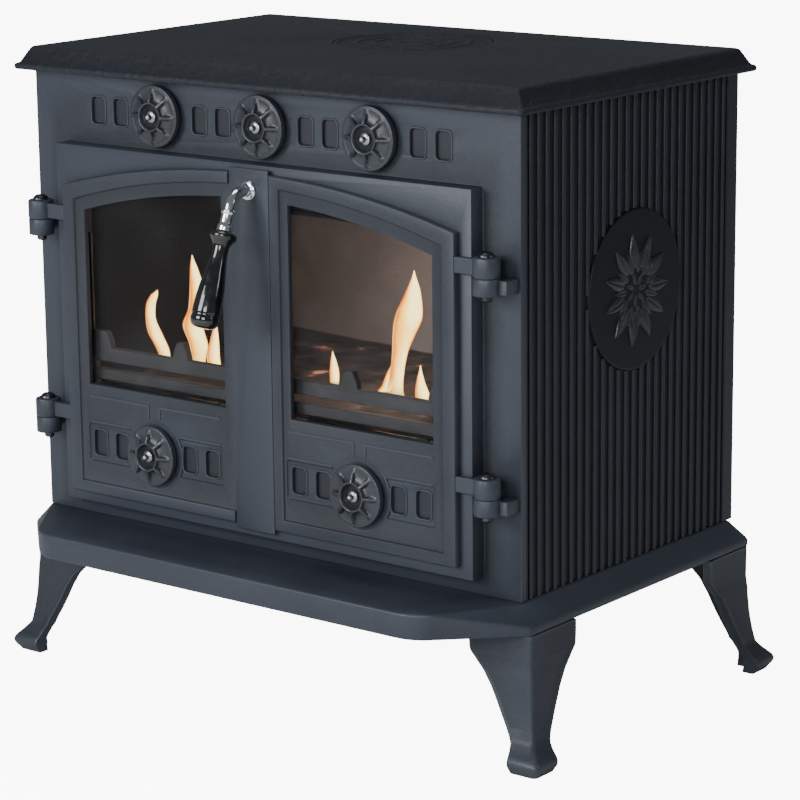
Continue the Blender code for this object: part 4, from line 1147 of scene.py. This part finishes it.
@dataclass
class Back:
    """The back panel and the flue collar."""

    def build(self) -> None:
        """Dress the back, round the collar's edges and add the panel's screws."""
        panel = softened(cad_copy("back_panel"), 0.0010, 2, 32)
        present("back_panel_casting", panel, IRON, stands_for=["back_panel"])
        low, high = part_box("flue_collar")
        radius, bore, flange = 0.0625, 0.055, 0.078
        centre = (low + high) / 2
        long = high.y - low.y
        profile = [(radius, long), (radius, 0.0115), (radius + 0.003, 0.0085), (flange, 0.0068), (flange, 0),
                   (bore, 0), (bore, long)]
        rim = rounded_profile([*profile, profile[0]], 0.0012, 3)[1:-1]
        turn = Matrix.Translation((0, low.y, centre.z)) @ Matrix.Rotation(-math.pi / 2, 4, "X")
        collar = moved(revolved("collar", rim, 64, True), turn)
        present("flue_collar_casting", shaded(collar, 35), IRON, stands_for=["flue_collar"])
        for side in Side:
            dress(f"collar_screw_{side.word}", ZINC)
        back_low, back_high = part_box("back_panel")
        inset, places = 0.018, []
        for z in (back_low.z + inset, (back_low.z + back_high.z) / 2, back_high.z - inset):
            places += [(x, back_high.y, z) for x in (back_low.x + inset, back_high.x - inset)]
        heads = screw_heads("back_screws", places, 0.0050, Matrix.Rotation(-math.pi / 2, 4, "X"), ZINC)
        present("back_panel_screws", heads, ZINC)


@dataclass
class FireBed:
    """Liners, grate, fence, baffle and ash pan."""

    def build(self) -> None:
        """Round the castings' edges, and dress the rest."""
        for node in ("left_liner", "right_liner", "back_liner"):
            finish = BACK_BRICK if node == "back_liner" else NEAR_BLACK_BRICK
            present(f"{node}_board", softened(cad_copy(node), 0.0020, 2, 35), finish, stands_for=[node])
        for node, width in (("fire_grate", 0.0016), ("fire_fence", 0.0012), ("baffle_plate", 0.0015),
                            ("ash_pan", 0.0006)):
            present(f"{node}_casting", softened(cad_copy(node), width, 2, 35), BLACK_IRON, stands_for=[node])


# ------------------------------------------------------------------ doors

@dataclass
class Door:
    """A door with its glass, glass bars and rope seal."""

    side: Side
    edge: float = 0.248
    face: float = -0.026
    back: float = -0.0183
    recess: float = -0.0235
    vent: float = -0.022
    flange: float = -0.0212
    vent_half: float = 0.090
    slots: tuple[float, ...] = (0.046, 0.076)
    boss: float = 0.0375

    @property
    def body(self) -> str:
        """The CAD body that the door's pieces ride on."""
        return f"{self.side.word}_door"

    def build(self) -> None:
        """Build the casting and what it carries."""
        word = self.side.word
        wheel = joint_place(f"wheel_{self.body}_turn")
        self._casting(wheel)
        self._arms()
        face = front_plane() + self.vent
        profile = [(self.boss, -0.0016), (self.boss, 0.0012), (self.boss - 0.0008, 0.0018),
                   (self.boss - 0.0030, 0.0014), (0.0225, 0.0010), (0.0225, -0.0016)]
        boss = moved(revolved("boss", profile, 56, True), facing_front(wheel.x, face, wheel.z))
        present(f"{word}_door_boss", shaded(boss, 35), IRON, self.body)
        places = [(wheel.x + s * x, face, VENT_SLOT_Z) for x in self.slots for s in (-1, 1)]
        borders = slot_borders(f"{word}_vent_borders", places, 0.0192, 0.0282, IRON)
        present(f"{word}_vent_borders", borders, IRON, self.body)
        self._relief(wheel)
        dress(f"{word}_glass", PANE)
        seal = softened(cad_copy(f"{word}_door_seal"), 0.0012, 2, 35)
        present(f"{word}_door_seal_rope", seal, ROPE, self.body, [f"{word}_door_seal"])
        for bar in ("bottom", "side"):
            node = f"{word}_glass_bar_{bar}"
            present(f"{node}_steel", softened(cad_copy(node), 0.0005, 2, 35), BAR_STEEL, self.body, [node])

    def _arched(self, limits: tuple[float, float], low: float, radius: float, centre: float, grow: float,
                depth: float) -> list[tuple[float, float, float]]:
        """One ring of an arched outline.

        Args:
            limits: Smaller and larger distance from the stove's middle, on this door's side.
            low: Level of its foot.
            radius: The arch's radius.
            centre: Level of the arch's centre.
            grow: How far the outline grows outwards.
            depth: Its Y from the front plate's face.

        Returns:
            The ring's points, the same count for every outline.
        """
        x0, x1 = limits[0] - grow, limits[1] + grow
        points, steps = [(x0, low - grow), (x1, low - grow)], 24
        for i in range(steps + 1):
            x = x1 + (x0 - x1) * i / steps
            points.append((x, centre + math.sqrt((radius + grow) ** 2 - x * x)))
        return [(self.side.value * x, front_plane() + depth, z) for x, z in points]

    def _casting(self, wheel: Vector) -> None:
        """The door's frame: a rounded rim, a recessed panel, the window and the vent panel."""
        left = self.side is Side.LEFT
        outer = ((-0.025 if left else 0.026, self.edge), 0.190, 0.936, OUTER_ARCH_Z)
        inner = ((0.0 if left else 0.038, self.edge - 0.015), 0.202, 0.797, INNER_ARCH_Z)
        window = ((0.037 if left else 0.048, 0.220), 0.305, 0.783, INNER_ARCH_Z)
        steps = [(outer, 0.0, self.back), (outer, 0.0, self.face + 0.0022), (outer, -0.0003, self.face + 0.0011),
                 (outer, -0.0010, self.face + 0.0003), (outer, -0.0020, self.face), (inner, 0.0014, self.face),
                 (inner, 0.0006, self.face + 0.0003), (inner, 0.0, self.face + 0.0009),
                 (inner, -0.0008, self.recess - 0.0003), (inner, -0.0016, self.recess)]
        door = loft("door", [self._arched(*shape, grow, depth) for shape, grow, depth in steps])
        hole = [(0.0020, self.recess - 0.002), (0.0016, self.recess - 0.0002), (0.0006, self.recess + 0.0004),
                (0.0, self.recess + 0.0014), (0.0, self.back + 0.002)]
        tools = [loft("window", [self._arched(*window, grow, depth) for grow, depth in hole])]
        face, centre = front_plane(), wheel.x
        rings = []
        lip = self.recess - self.vent - 0.0001
        for grow, depth in ((0.0012, -0.004), (0.0010, lip), (0.0, -0.0002), (-0.0006, 0.0)):
            wide = self.vent_half + grow
            plan = rounded_rectangle(centre - wide, centre + wide, 0.225 - grow, 0.263 + grow, 0.0025)
            rings.append([(x, face + self.vent + depth, z) for x, z in plan])
        tools.append(loft("vent", rings))
        tools += [slot_tool(centre + s * x, face + self.vent, VENT_SLOT_Z) for x in self.slots for s in (-1, 1)]
        shaft = [(0, -0.01), (0.0043, -0.01), (0.0043, 0.03), (0, 0.03)]
        tools.append(moved(revolved("shaft", shaft, 20), facing_front(centre, face, wheel.z)))
        for turn in (90, 210, 330):
            x, z = 0.016 * math.cos(math.radians(turn)), 0.016 * math.sin(math.radians(turn))
            air = [(0, -0.01), (0.0055, -0.01), (0.0055, 0.03), (0, 0.03)]
            tools.append(moved(revolved("air", air, 20), facing_front(centre + x, face, wheel.z + z)))
        seal = ((0.027 if left else 0.029, self.edge - 0.0035), 0.1935, 0.9325, OUTER_ARCH_Z)
        depths = (self.back - 0.003, self.back + 0.004)
        groove = [loft("ring", [self._arched(*seal, grow, depth) for depth in depths]) for grow in (0.0, -0.006)]
        tools.append(combined(groove[0], "DIFFERENCE", [groove[1]]))
        if left:
            tools.append(block("flange", (-0.025, face - 0.05, 0.17), (0.04, face + self.flange, 0.56)))
            spindle = [(0, -0.01), (0.0061, -0.01), (0.0061, 0.05), (0, 0.05)]
            tools.append(moved(revolved("spindle", spindle, 24), facing_front(0, face, 0.524)))
        door = combined(door, "DIFFERENCE", tools)
        present(f"{self.side.word}_door_casting", shaded(door, 32), IRON, self.body, [self.body])

    def _arms(self) -> None:
        """The straps and knuckles that carry the door."""
        hinge = joint_place(f"{self.body}_hinge")
        shells, sx = [], self.side.value
        for middle, high in HINGE_LEVELS:
            x0, x1 = sorted((sx * (self.edge - 0.0008), sx * 0.2740))
            strap = softened(block("strap", (x0, front_plane() - 0.0255, middle + 0.0006),
                                   (x1, front_plane() - 0.0190, high - 0.0030)), 0.0013, 3, 35)
            knuckle = [(0.0054, middle), (0.0054, high), (0.0108, high), (0.0124, high - 0.0006),
                       (0.0130, high - 0.0020), (0.0130, middle + 0.0014), (0.0122, middle)]
            ring = moved(revolved("knuckle", knuckle, 40, True), Matrix.Translation((hinge.x, hinge.y, 0)))
            shells += [strap, shaded(ring, 35)]
        present(f"{self.side.word}_door_hinge_arms", joined("arms", shells), IRON, self.body)

    def _relief(self, wheel: Vector) -> None:
        """Low raised mouldings between the window and the vent panel."""
        recess, half, post = front_plane() + self.recess, 0.089, 0.006
        shells = []
        for low, high in ((0.2905, 0.2935), (0.2645, 0.2670)):
            for s in (-1, 1):
                x0, x1 = sorted((wheel.x + s * (post if low > 0.28 else 0.033), wheel.x + s * half))
                shells.append(block("bar", (x0, recess - 0.0007, low), (x1, recess + 0.0008, high)))
        for s in (-1, 1):
            x0, x1 = sorted((wheel.x + s * post, wheel.x + s * (post + 0.0025)))
            shells.append(block("post", (x0, recess - 0.0008, 0.2790), (x1, recess + 0.0008, 0.2933)))
        mould = softened(joined("relief", shells), 0.0006, 2, 35)
        present(f"{self.side.word}_door_relief", mould, IRON, self.body)


@dataclass
class Hinges:
    """The fixed brackets and the pins."""

    def build(self) -> None:
        """Round each bracket's edges and turn each pin."""
        for side in Side:
            for level in ("upper", "lower"):
                node = f"{side.word}_hinge_bracket_{level}"
                present(f"{node}_casting", softened(cad_copy(node), 0.0012, 2, 35), IRON, stands_for=[node])
                self._pin(f"{side.word}_hinge_pin_{level}")

    @staticmethod
    def _pin(node: str) -> None:
        """A pin with a domed head and a chamfered end."""
        low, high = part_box(node)
        centre = (low + high) / 2
        shank, head, top, foot = 0.005, 0.008, high.z - centre.z, low.z - centre.z
        dome = [(head * math.sin(a), top - 0.0050 + 0.0050 * math.cos(a) + 0.0003)
                for a in (math.pi / 2 * i / 6 for i in range(7))]
        dome = [(r, min(z, top)) for r, z in dome]
        profile = [*dome, (shank, top - 0.0047), (shank, foot + 0.0015), (shank - 0.0015, foot), (0, foot)]
        pin = moved(revolved("pin", profile, 32), Matrix.Translation(centre))
        present(f"{node}_turned", shaded(pin, 35), PIN_STEEL, stands_for=[node])


# ------------------------------------------------------------------ handle and air wheels

@dataclass
class Handle:
    """The turning handle on the left door, with its centre strip and latch cam."""

    tilt: float = math.radians(21)
    rod: float = 0.0055
    bend: float = 0.018
    ferrule: float = 0.021
    grip: float = 0.094

    def build(self) -> None:
        """Build the strip, the rose, the rod, the ferrule, the grip and the cam."""
        strip = softened(cad_copy("centre_strip"), 0.0010, 3, 35)
        present("centre_strip_casting", strip, IRON, "left_door", ["centre_strip"])
        axis, foot = joint_place("handle_turn"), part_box("handle_rose")[1].y
        profile = [(0.0061, 0), (0.0100, 0), (0.0100, 0.0008), (0.0094, 0.0018), (0.0080, 0.0027), (0.0061, 0.0028)]
        rose = moved(revolved("rose", profile, 48, True), facing_front(axis.x, foot, axis.z))
        present("handle_rose_turned", shaded(rose, 35), CHROME, "left_door", ["handle_rose"])
        self._rod(axis)
        present("latch_cam_steel", softened(cad_copy("latch_cam"), 0.0006, 2, 35), ZINC, "handle", ["latch_cam"])

    def _rod(self, axis: Vector) -> None:
        """The bent rod, and the ferrule and grip at its end."""
        low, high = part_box("handle_spindle")
        down = Vector((0, -math.sin(self.tilt), -math.cos(self.tilt)))
        across = Vector((0, -math.cos(self.tilt), math.sin(self.tilt)))
        top = self._rod_end(low, down, across)
        corner = top - down * ((axis.z - top.z) / math.cos(self.tilt))
        sweep = math.pi / 2 - self.tilt
        centre = Vector((axis.x, corner.y + self.bend * math.tan(sweep / 2), axis.z - self.bend))
        route = [Vector((axis.x, high.y, axis.z)), Vector((axis.x, high.y - 0.02, axis.z))]
        for i in range(13):
            angle = sweep * i / 12
            route.append(centre + self.bend * Vector((0, -math.sin(angle), math.cos(angle))))
        route.append(top - down * 0.0003)
        rings = []
        for i, point in enumerate(route):
            ahead = (route[min(i + 1, len(route) - 1)] - route[max(i - 1, 0)]).normalized()
            up = Vector((1, 0, 0)).cross(ahead)
            rings.append([point + self.rod * (Vector((math.cos(a), 0, 0)) + up * math.sin(a))
                          for a in (FULL_TURN * k / 28 for k in range(28))])
        present("handle_rod", shaded(loft("rod", rings), 40), CHROME, "handle", ["handle_spindle"])
        turn = Matrix.Translation(top) @ Matrix.Rotation(math.pi - self.tilt, 4, "X")
        collar = [(0, 0), (0.0064, 0), (0.0074, 0.0010), (0.0074, 0.0024), (0.0066, 0.0042), (0.0066, 0.0128),
                  (0.0072, 0.0142), (0.0078, 0.0156), (0.0078, self.ferrule - 0.0006), (0, self.ferrule)]
        ferrule = moved(revolved("ferrule", rounded_profile(collar, 0.0006), 40), turn)
        present("handle_ferrule_turned", shaded(ferrule, 40), CHROME, "handle", ["handle_ferrule"])
        bulb = [(0, 0), (0.0110, 0.0004), (0.0132, 0.0024), (0.0136, 0.0045), (0.0126, 0.0068), (0.0107, 0.0094),
                (0.0088, 0.0122), (0.0081, 0.0152), (0.0081, 0.0200), (0.0085, 0.0265), (0.0097, 0.0350),
                (0.0112, 0.0445), (0.0125, 0.0540), (0.0135, 0.0640), (0.0140, 0.0740), (0.0140, 0.0792),
                (0.0134, 0.0810), (0.0134, 0.0824), (0.0140, 0.0842), (0.0139, 0.0868), (0.0129, 0.0900),
                (0.0108, 0.0925), (0.0070, 0.0937), (0, self.grip)]
        grip = moved(revolved("grip", rounded_profile(bulb, 0.0009, 2), 48),
                     turn @ Matrix.Translation((0, 0, self.ferrule + 0.0003)))
        present("handle_grip_moulding", shaded(grip, 50), GRIP, "handle", ["handle_grip"])

    def _rod_end(self, low: Vector, down: Vector, across: Vector) -> Vector:
        """Where the rod ends: its box's lowest corner is the rim of its slanting end face."""
        foot_z = low.z - self.rod * down.y * -1
        return Vector((0, low.y + self.rod * abs(across.y), foot_z + 2 * self.rod * math.sin(self.tilt)))


@dataclass
class AirWheel:
    """A ribbed screw wheel on its stud."""

    name: str
    body: str
    radius: float = 0.031
    ribs: int = 8
    segments: int = 128

    def build(self) -> None:
        """Build the wheel and its stud."""
        place = joint_place(f"wheel_{self.name}_turn")
        rings = [0.0043, 0.0075, 0.0105, 0.0117, 0.0123, 0.0130, 0.0137, 0.0145, 0.0149, 0.0154, 0.0160, 0.0167,
                 0.0175, 0.0184, 0.0194, 0.0204, 0.0214, 0.0224, 0.0234, 0.0243, 0.0251, 0.0258, 0.0264, 0.0269,
                 0.0275, 0.0284, 0.0294, 0.0302, 0.0307, self.radius]
        work = bmesh.new()
        rows = []
        for radius in rings:
            row = []
            for i in range(self.segments):
                angle = FULL_TURN * i / self.segments
                row.append(work.verts.new((radius * math.cos(angle), radius * math.sin(angle),
                                           self._height(radius, angle))))
            rows.append(row)
        for radius in (self.radius, rings[0]):
            rows.append([work.verts.new((v.co.x, v.co.y, 0.0)) for v in (rows[-1] if radius > 0.01 else rows[0])])
        for first, second in [*zip(rows, rows[1:]), (rows[-1], rows[0])]:
            for i in range(self.segments):
                k = (i + 1) % self.segments
                work.faces.new((first[i], first[k], second[k], second[i]))
        wheel = moved(finished(work, "wheel"), facing_front(*place))
        present(f"air_wheel_{self.name}_casting", shaded(wheel, 60), WHEEL_IRON, self.body,
                [f"air_wheel_{self.name}"])
        # A near black ring laid on the dish's floor: painted shade in the wheel's hollow.
        dish = [(0.0045, 0.0050), (0.0114, 0.0050), (0.0114, 0.0061), (0.0110, 0.0062), (0.0045, 0.0062)]
        dish = moved(revolved("dish", dish, 40, True), facing_front(*place))
        present(f"air_wheel_{self.name}_dish", shaded(dish, 40), DISH_SHADE_IRON, self.body)
        self._stud(place)

    def _height(self, radius: float, angle: float) -> float:
        """Height of the wheel's face: a dish, a crest, a cone with scoops between ribs, and a rim."""
        profile = ((0.0043, 0.0056), (0.0105, 0.0058), (0.0117, 0.0072), (0.0123, 0.0100), (0.0130, 0.0112),
                   (0.0137, 0.0115), (0.0145, 0.0114), (0.0275, 0.0058), (0.0284, 0.0053), (0.0294, 0.0054),
                   (0.0302, 0.0053), (0.0307, 0.0050), (self.radius, 0.0042))
        level = profile[-1][1]
        for (r0, z0), (r1, z1) in zip(profile, profile[1:]):
            if radius <= r1 + WELD:
                level = z0 + (z1 - z0) * (radius - r0) / (r1 - r0)
                break
        if not 0.0145 < radius < 0.0275:
            return level
        along = (radius - 0.0145) / 0.0130
        reach = 0.50 + 0.28 * along
        rib = min(1.0, max(0.0, (math.cos(self.ribs * angle) - reach) / (1.0 - reach) * 2.2))
        rib = rib * rib * (3 - 2 * rib)
        scoop = 0.0034 * math.sin(math.pi * along ** 0.55) ** 0.7
        cone = 0.0114 - 0.0056 * along ** 1.25
        return cone + 0.0007 * rib * (1 - along) - scoop * (1 - rib)

    def _stud(self, place: Vector) -> None:
        """The domed stud that the wheel turns on, dressed brighter."""
        node = f"air_wheel_stud_{self.name}"
        low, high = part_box(node)
        top, rear = place.y - low.y, place.y - high.y
        dish = top - 0.0088
        profile = [(0, top), (0.0014, top - 0.0003), (0.0026, top - 0.0012), (0.0031, top - 0.0026),
                   (0.0028, top - 0.0040), (0.0030, top - 0.0052), (0.0052, top - 0.0058), (0.0060, top - 0.0066),
                   (0.0060, dish + 0.0003), (0.0039, dish + 0.0003), (0.0039, rear), (0, rear)]
        stud = moved(revolved("stud", profile, 28), facing_front(*place))
        body = self.name if self.name.endswith("door") else "root"
        present(f"{node}_turned", shaded(stud, 40), STUD, body, [node])


# ------------------------------------------------------------------ fire and studio

@dataclass(frozen=True)
class Tongue:
    """A tongue of flame: its foot, its height, and (level, drift, half width) rows in millimetres."""

    foot: tuple[float, float, float]
    height: float
    rows: tuple[tuple[float, float, float], ...]

    def shape(self, level: float) -> tuple[float, float]:
        """Drift and half width at a level from 0 to 1, in metres."""
        rows = self.rows
        i = max(k for k in range(len(rows) - 1) if rows[k][0] <= level or k == 0)
        first, second = rows[i], rows[i + 1]
        before, after = rows[max(i - 1, 0)], rows[min(i + 2, len(rows) - 1)]
        t = (level - first[0]) / (second[0] - first[0])
        made = []
        for k in (1, 2):
            start, end = (second[k] - before[k]) / 2, (after[k] - first[k]) / 2
            made.append(((2 * t ** 3 - 3 * t ** 2 + 1) * first[k] + (t ** 3 - 2 * t ** 2 + t) * start
                         + (3 * t ** 2 - 2 * t ** 3) * second[k] + (t ** 3 - t ** 2) * end) / 1000)
        return made[0], max(made[1], 0.0004)


@dataclass
class Fire:
    """Scenery inside the firebox: an ember bed, flames and their light."""

    tongues: tuple[Tongue, ...] = (
        Tongue((0.034, -0.018, 0.290), 0.136, ((0.0, 0, 20), (0.07, 5, 11), (0.2, 8, 9), (0.37, 12, 10),
                                               (0.5, 17, 14), (0.65, 24, 17), (0.85, 30, 9), (1.0, 31, 0.5))),
        Tongue((0.024, -0.014, 0.290), 0.040, ((0.0, -6, 9), (0.3, 2, 7), (0.6, 6, 5), (1.0, 10, 0.5))),
        Tongue((-0.040, -0.018, 0.296), 0.034, ((0.0, 0, 6), (0.4, 0, 6), (0.75, -1, 3.5), (1.0, -2, 0.5))),
        Tongue((0.077, -0.018, 0.290), 0.040, ((0.0, 0, 11), (0.3, -3, 9), (0.6, -5, 5), (1.0, -5, 0.5))),
        Tongue((-0.200, -0.098, 0.310), 0.078, ((0.0, 0, 6), (0.2, -4, 9), (0.4, -14, 10), (0.6, -20, 7),
                                                (0.8, -19, 6.5), (0.93, -14, 5), (1.0, -10, 0.8))),
        Tongue((-0.152, -0.098, 0.306), 0.124, ((0.0, 0, 11), (0.1, -2, 9), (0.25, -2, 13), (0.4, -9, 14),
                                                (0.55, -5, 10), (0.75, -3, 9), (0.9, -6, 5), (1.0, -8, 0.5))),
        Tongue((-0.134, -0.096, 0.306), 0.062, ((0.0, 2, 8), (0.3, -2, 9), (0.6, 0, 6), (1.0, 3, 0.5))),
    )
    lights: tuple[tuple[Point, float], ...] = (
        ((0.05, -0.03, 0.36), 0.45), ((-0.17, -0.09, 0.35), 0.05), ((0.02, 0.03, 0.45), 0.40))

    def build(self) -> None:
        """Build the bed, the flames and the lights."""
        self._bed()
        for number, tongue in enumerate(self.tongues):
            self._flame(number, tongue)
        for number, (place, power) in enumerate(self.lights):
            lamp = bpy.data.lights.new(f"fire_light_{number}", "POINT")
            lamp.energy = power
            lamp.color = (1.0, 0.74, 0.60)
            lamp.shadow_soft_size = 0.03
            holder = bpy.data.objects.new(f"fire_light_{number}", lamp)
            holder.location = place
            bpy.context.scene.collection.objects.link(holder)

    def _bed(self) -> None:
        """Ash and charcoal on the grate, with a lumpy top."""
        low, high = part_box("fire_grate")
        work = bmesh.new()
        bmesh.ops.create_grid(work, x_segments=70, y_segments=40, size=0.5)
        for v in work.verts:
            x, y = v.co.x * 2, v.co.y * 2
            lump = math.sin(x * 31 + y * 17) * math.sin(y * 23 - x * 9) + 0.6 * math.sin(x * 67 - y * 41)
            v.co = Vector(((low.x + high.x) / 2 + x * (high.x - low.x) / 2 * 0.985,
                           (low.y + high.y) / 2 + y * (high.y - low.y) / 2 * 0.985,
                           high.z + 0.0060 + 0.0016 * lump))
        mesh = bpy.data.meshes.new("ember_bed")
        work.to_mesh(mesh)
        work.free()
        stage_object("ember_bed", shaded(mesh, 60), EmberBed("ember_bed", "fire_iron"))

    @staticmethod
    def _flame(number: int, tongue: Tongue) -> None:
        """A tongue as an oval tube that swells, thins and bends on its way up."""
        rings, rows, count = [], 44, 24
        x, y, z = tongue.foot
        for i in range(rows + 1):
            drift, half = tongue.shape(i / rows)
            rings.append([(x + drift + half * math.cos(a), y + 0.45 * half * math.sin(a),
                           z + tongue.height * i / rows) for a in (FULL_TURN * k / count for k in range(count))])
        finish = Flame(f"flame_{number}", "fire_iron", low=z, height=tongue.height)
        stage_object(f"flame_{number}", shaded(loft("flame", rings), 180), finish)


def stage_object(name: str, mesh: bpy.types.Mesh, finish: Finish) -> bpy.types.Object:
    """Add an object that isn't part of the stove."""
    mesh.materials.clear()
    mesh.materials.append(finish.material())
    made = bpy.data.objects.new(name, mesh)
    bpy.context.scene.collection.objects.link(made)
    return made


@dataclass
class Studio:
    """The floor, the lights and the camera."""

    camera_place: Point = (1.8757, -2.3435, 0.9844)
    turn: float = 0.6668
    pitch: float = -0.2303
    roll: float = -0.0105
    lens: float = 135.25

    def build(self) -> None:
        """Build the floor, the lights, the world and the camera."""
        floor = points_mesh("floor", [])
        size = 12.0
        floor.from_pydata([(-size, -size, 0), (size, -size, 0), (size, size, 0), (-size, size, 0)], [],
                          [(0, 1, 2, 3)])
        stage_object("studio_floor", floor, FloorPaint("studio_floor", "slate_iron"))
        self._lamp("key", (-1.0, -3.2, 1.6), (0, 0, 0.35), 1.6, 95.0)
        self._lamp("front_fill", (0.85, -1.9, 0.9), (0.1, -0.17, 0.3), 0.7, 17.0)
        self._lamp("side_fill", (3.6, 0.6, 1.6), (0, 0, 0.35), 0.7, 12.0)
        self._lamp("top", (-0.2, 0.2, 3.2), (0, 0, 0.4), 1.6, 30.0)
        self._world()
        self._camera()

    @staticmethod
    def _lamp(name: str, place: Point, target: Point, size: float, power: float) -> None:
        """A square soft box that looks at a point."""
        light = bpy.data.lights.new(name, "AREA")
        light.size = size
        light.energy = power
        holder = bpy.data.objects.new(name, light)
        holder.location = place
        holder.rotation_euler = (Vector(target) - Vector(place)).to_track_quat("-Z", "Y").to_euler()
        bpy.context.scene.collection.objects.link(holder)

    @staticmethod
    def _world() -> None:
        """A white backdrop that lights the stove only a little."""
        world = bpy.data.worlds.new("studio")
        bpy.context.scene.world = world
        world.use_nodes = True
        tree = world.node_tree
        tree.nodes.clear()
        path = tree.nodes.new("ShaderNodeLightPath")
        dim, white = tree.nodes.new("ShaderNodeBackground"), tree.nodes.new("ShaderNodeBackground")
        dim.inputs["Color"].default_value = (0.80, 0.84, 0.90, 1.0)
        dim.inputs["Strength"].default_value = 0.22
        white.inputs["Color"].default_value = (1.0, 1.0, 1.0, 1.0)
        white.inputs["Strength"].default_value = 9.6
        mixed = tree.nodes.new("ShaderNodeMixShader")
        out = tree.nodes.new("ShaderNodeOutputWorld")
        tree.links.new(path.outputs["Is Camera Ray"], mixed.inputs[0])
        tree.links.new(dim.outputs[0], mixed.inputs[1])
        tree.links.new(white.outputs[0], mixed.inputs[2])
        tree.links.new(mixed.outputs[0], out.inputs[0])

    def _camera(self) -> None:
        """The camera at the stove's front right, a little above it."""
        ahead = Vector((-math.sin(self.turn) * math.cos(self.pitch), math.cos(self.turn) * math.cos(self.pitch),
                        math.sin(self.pitch)))
        right = ahead.cross(Vector((0, 0, 1))).normalized()
        up = right.cross(ahead)
        right, up = (math.cos(self.roll) * right + math.sin(self.roll) * up,
                     math.cos(self.roll) * up - math.sin(self.roll) * right)
        camera = bpy.data.cameras.new("camera")
        camera.lens = self.lens
        camera.sensor_width = 36.0
        holder = bpy.data.objects.new("camera", camera)
        holder.matrix_world = Matrix((
            (right.x, up.x, -ahead.x, self.camera_place[0]), (right.y, up.y, -ahead.y, self.camera_place[1]),
            (right.z, up.z, -ahead.z, self.camera_place[2]), (0, 0, 0, 1)))
        bpy.context.scene.collection.objects.link(holder)
        bpy.context.scene.camera = holder


def main() -> None:
    """Build every sub-assembly in order."""
    logging.basicConfig(level=logging.INFO, format="%(name)s %(message)s")
    Studio().build()
    Hearth().build()
    Lid().build()
    Front().build()
    SidePanels().build()
    Back().build()
    FireBed().build()
    for side in Side:
        Door(side).build()
    Hinges().build()
    Handle().build()
    for name in ("top_left", "top_middle", "top_right", "left_door", "right_door"):
        AirWheel(name, f"wheel_{name}").build()
    Fire().build()


if __name__ == "__main__":
    main()
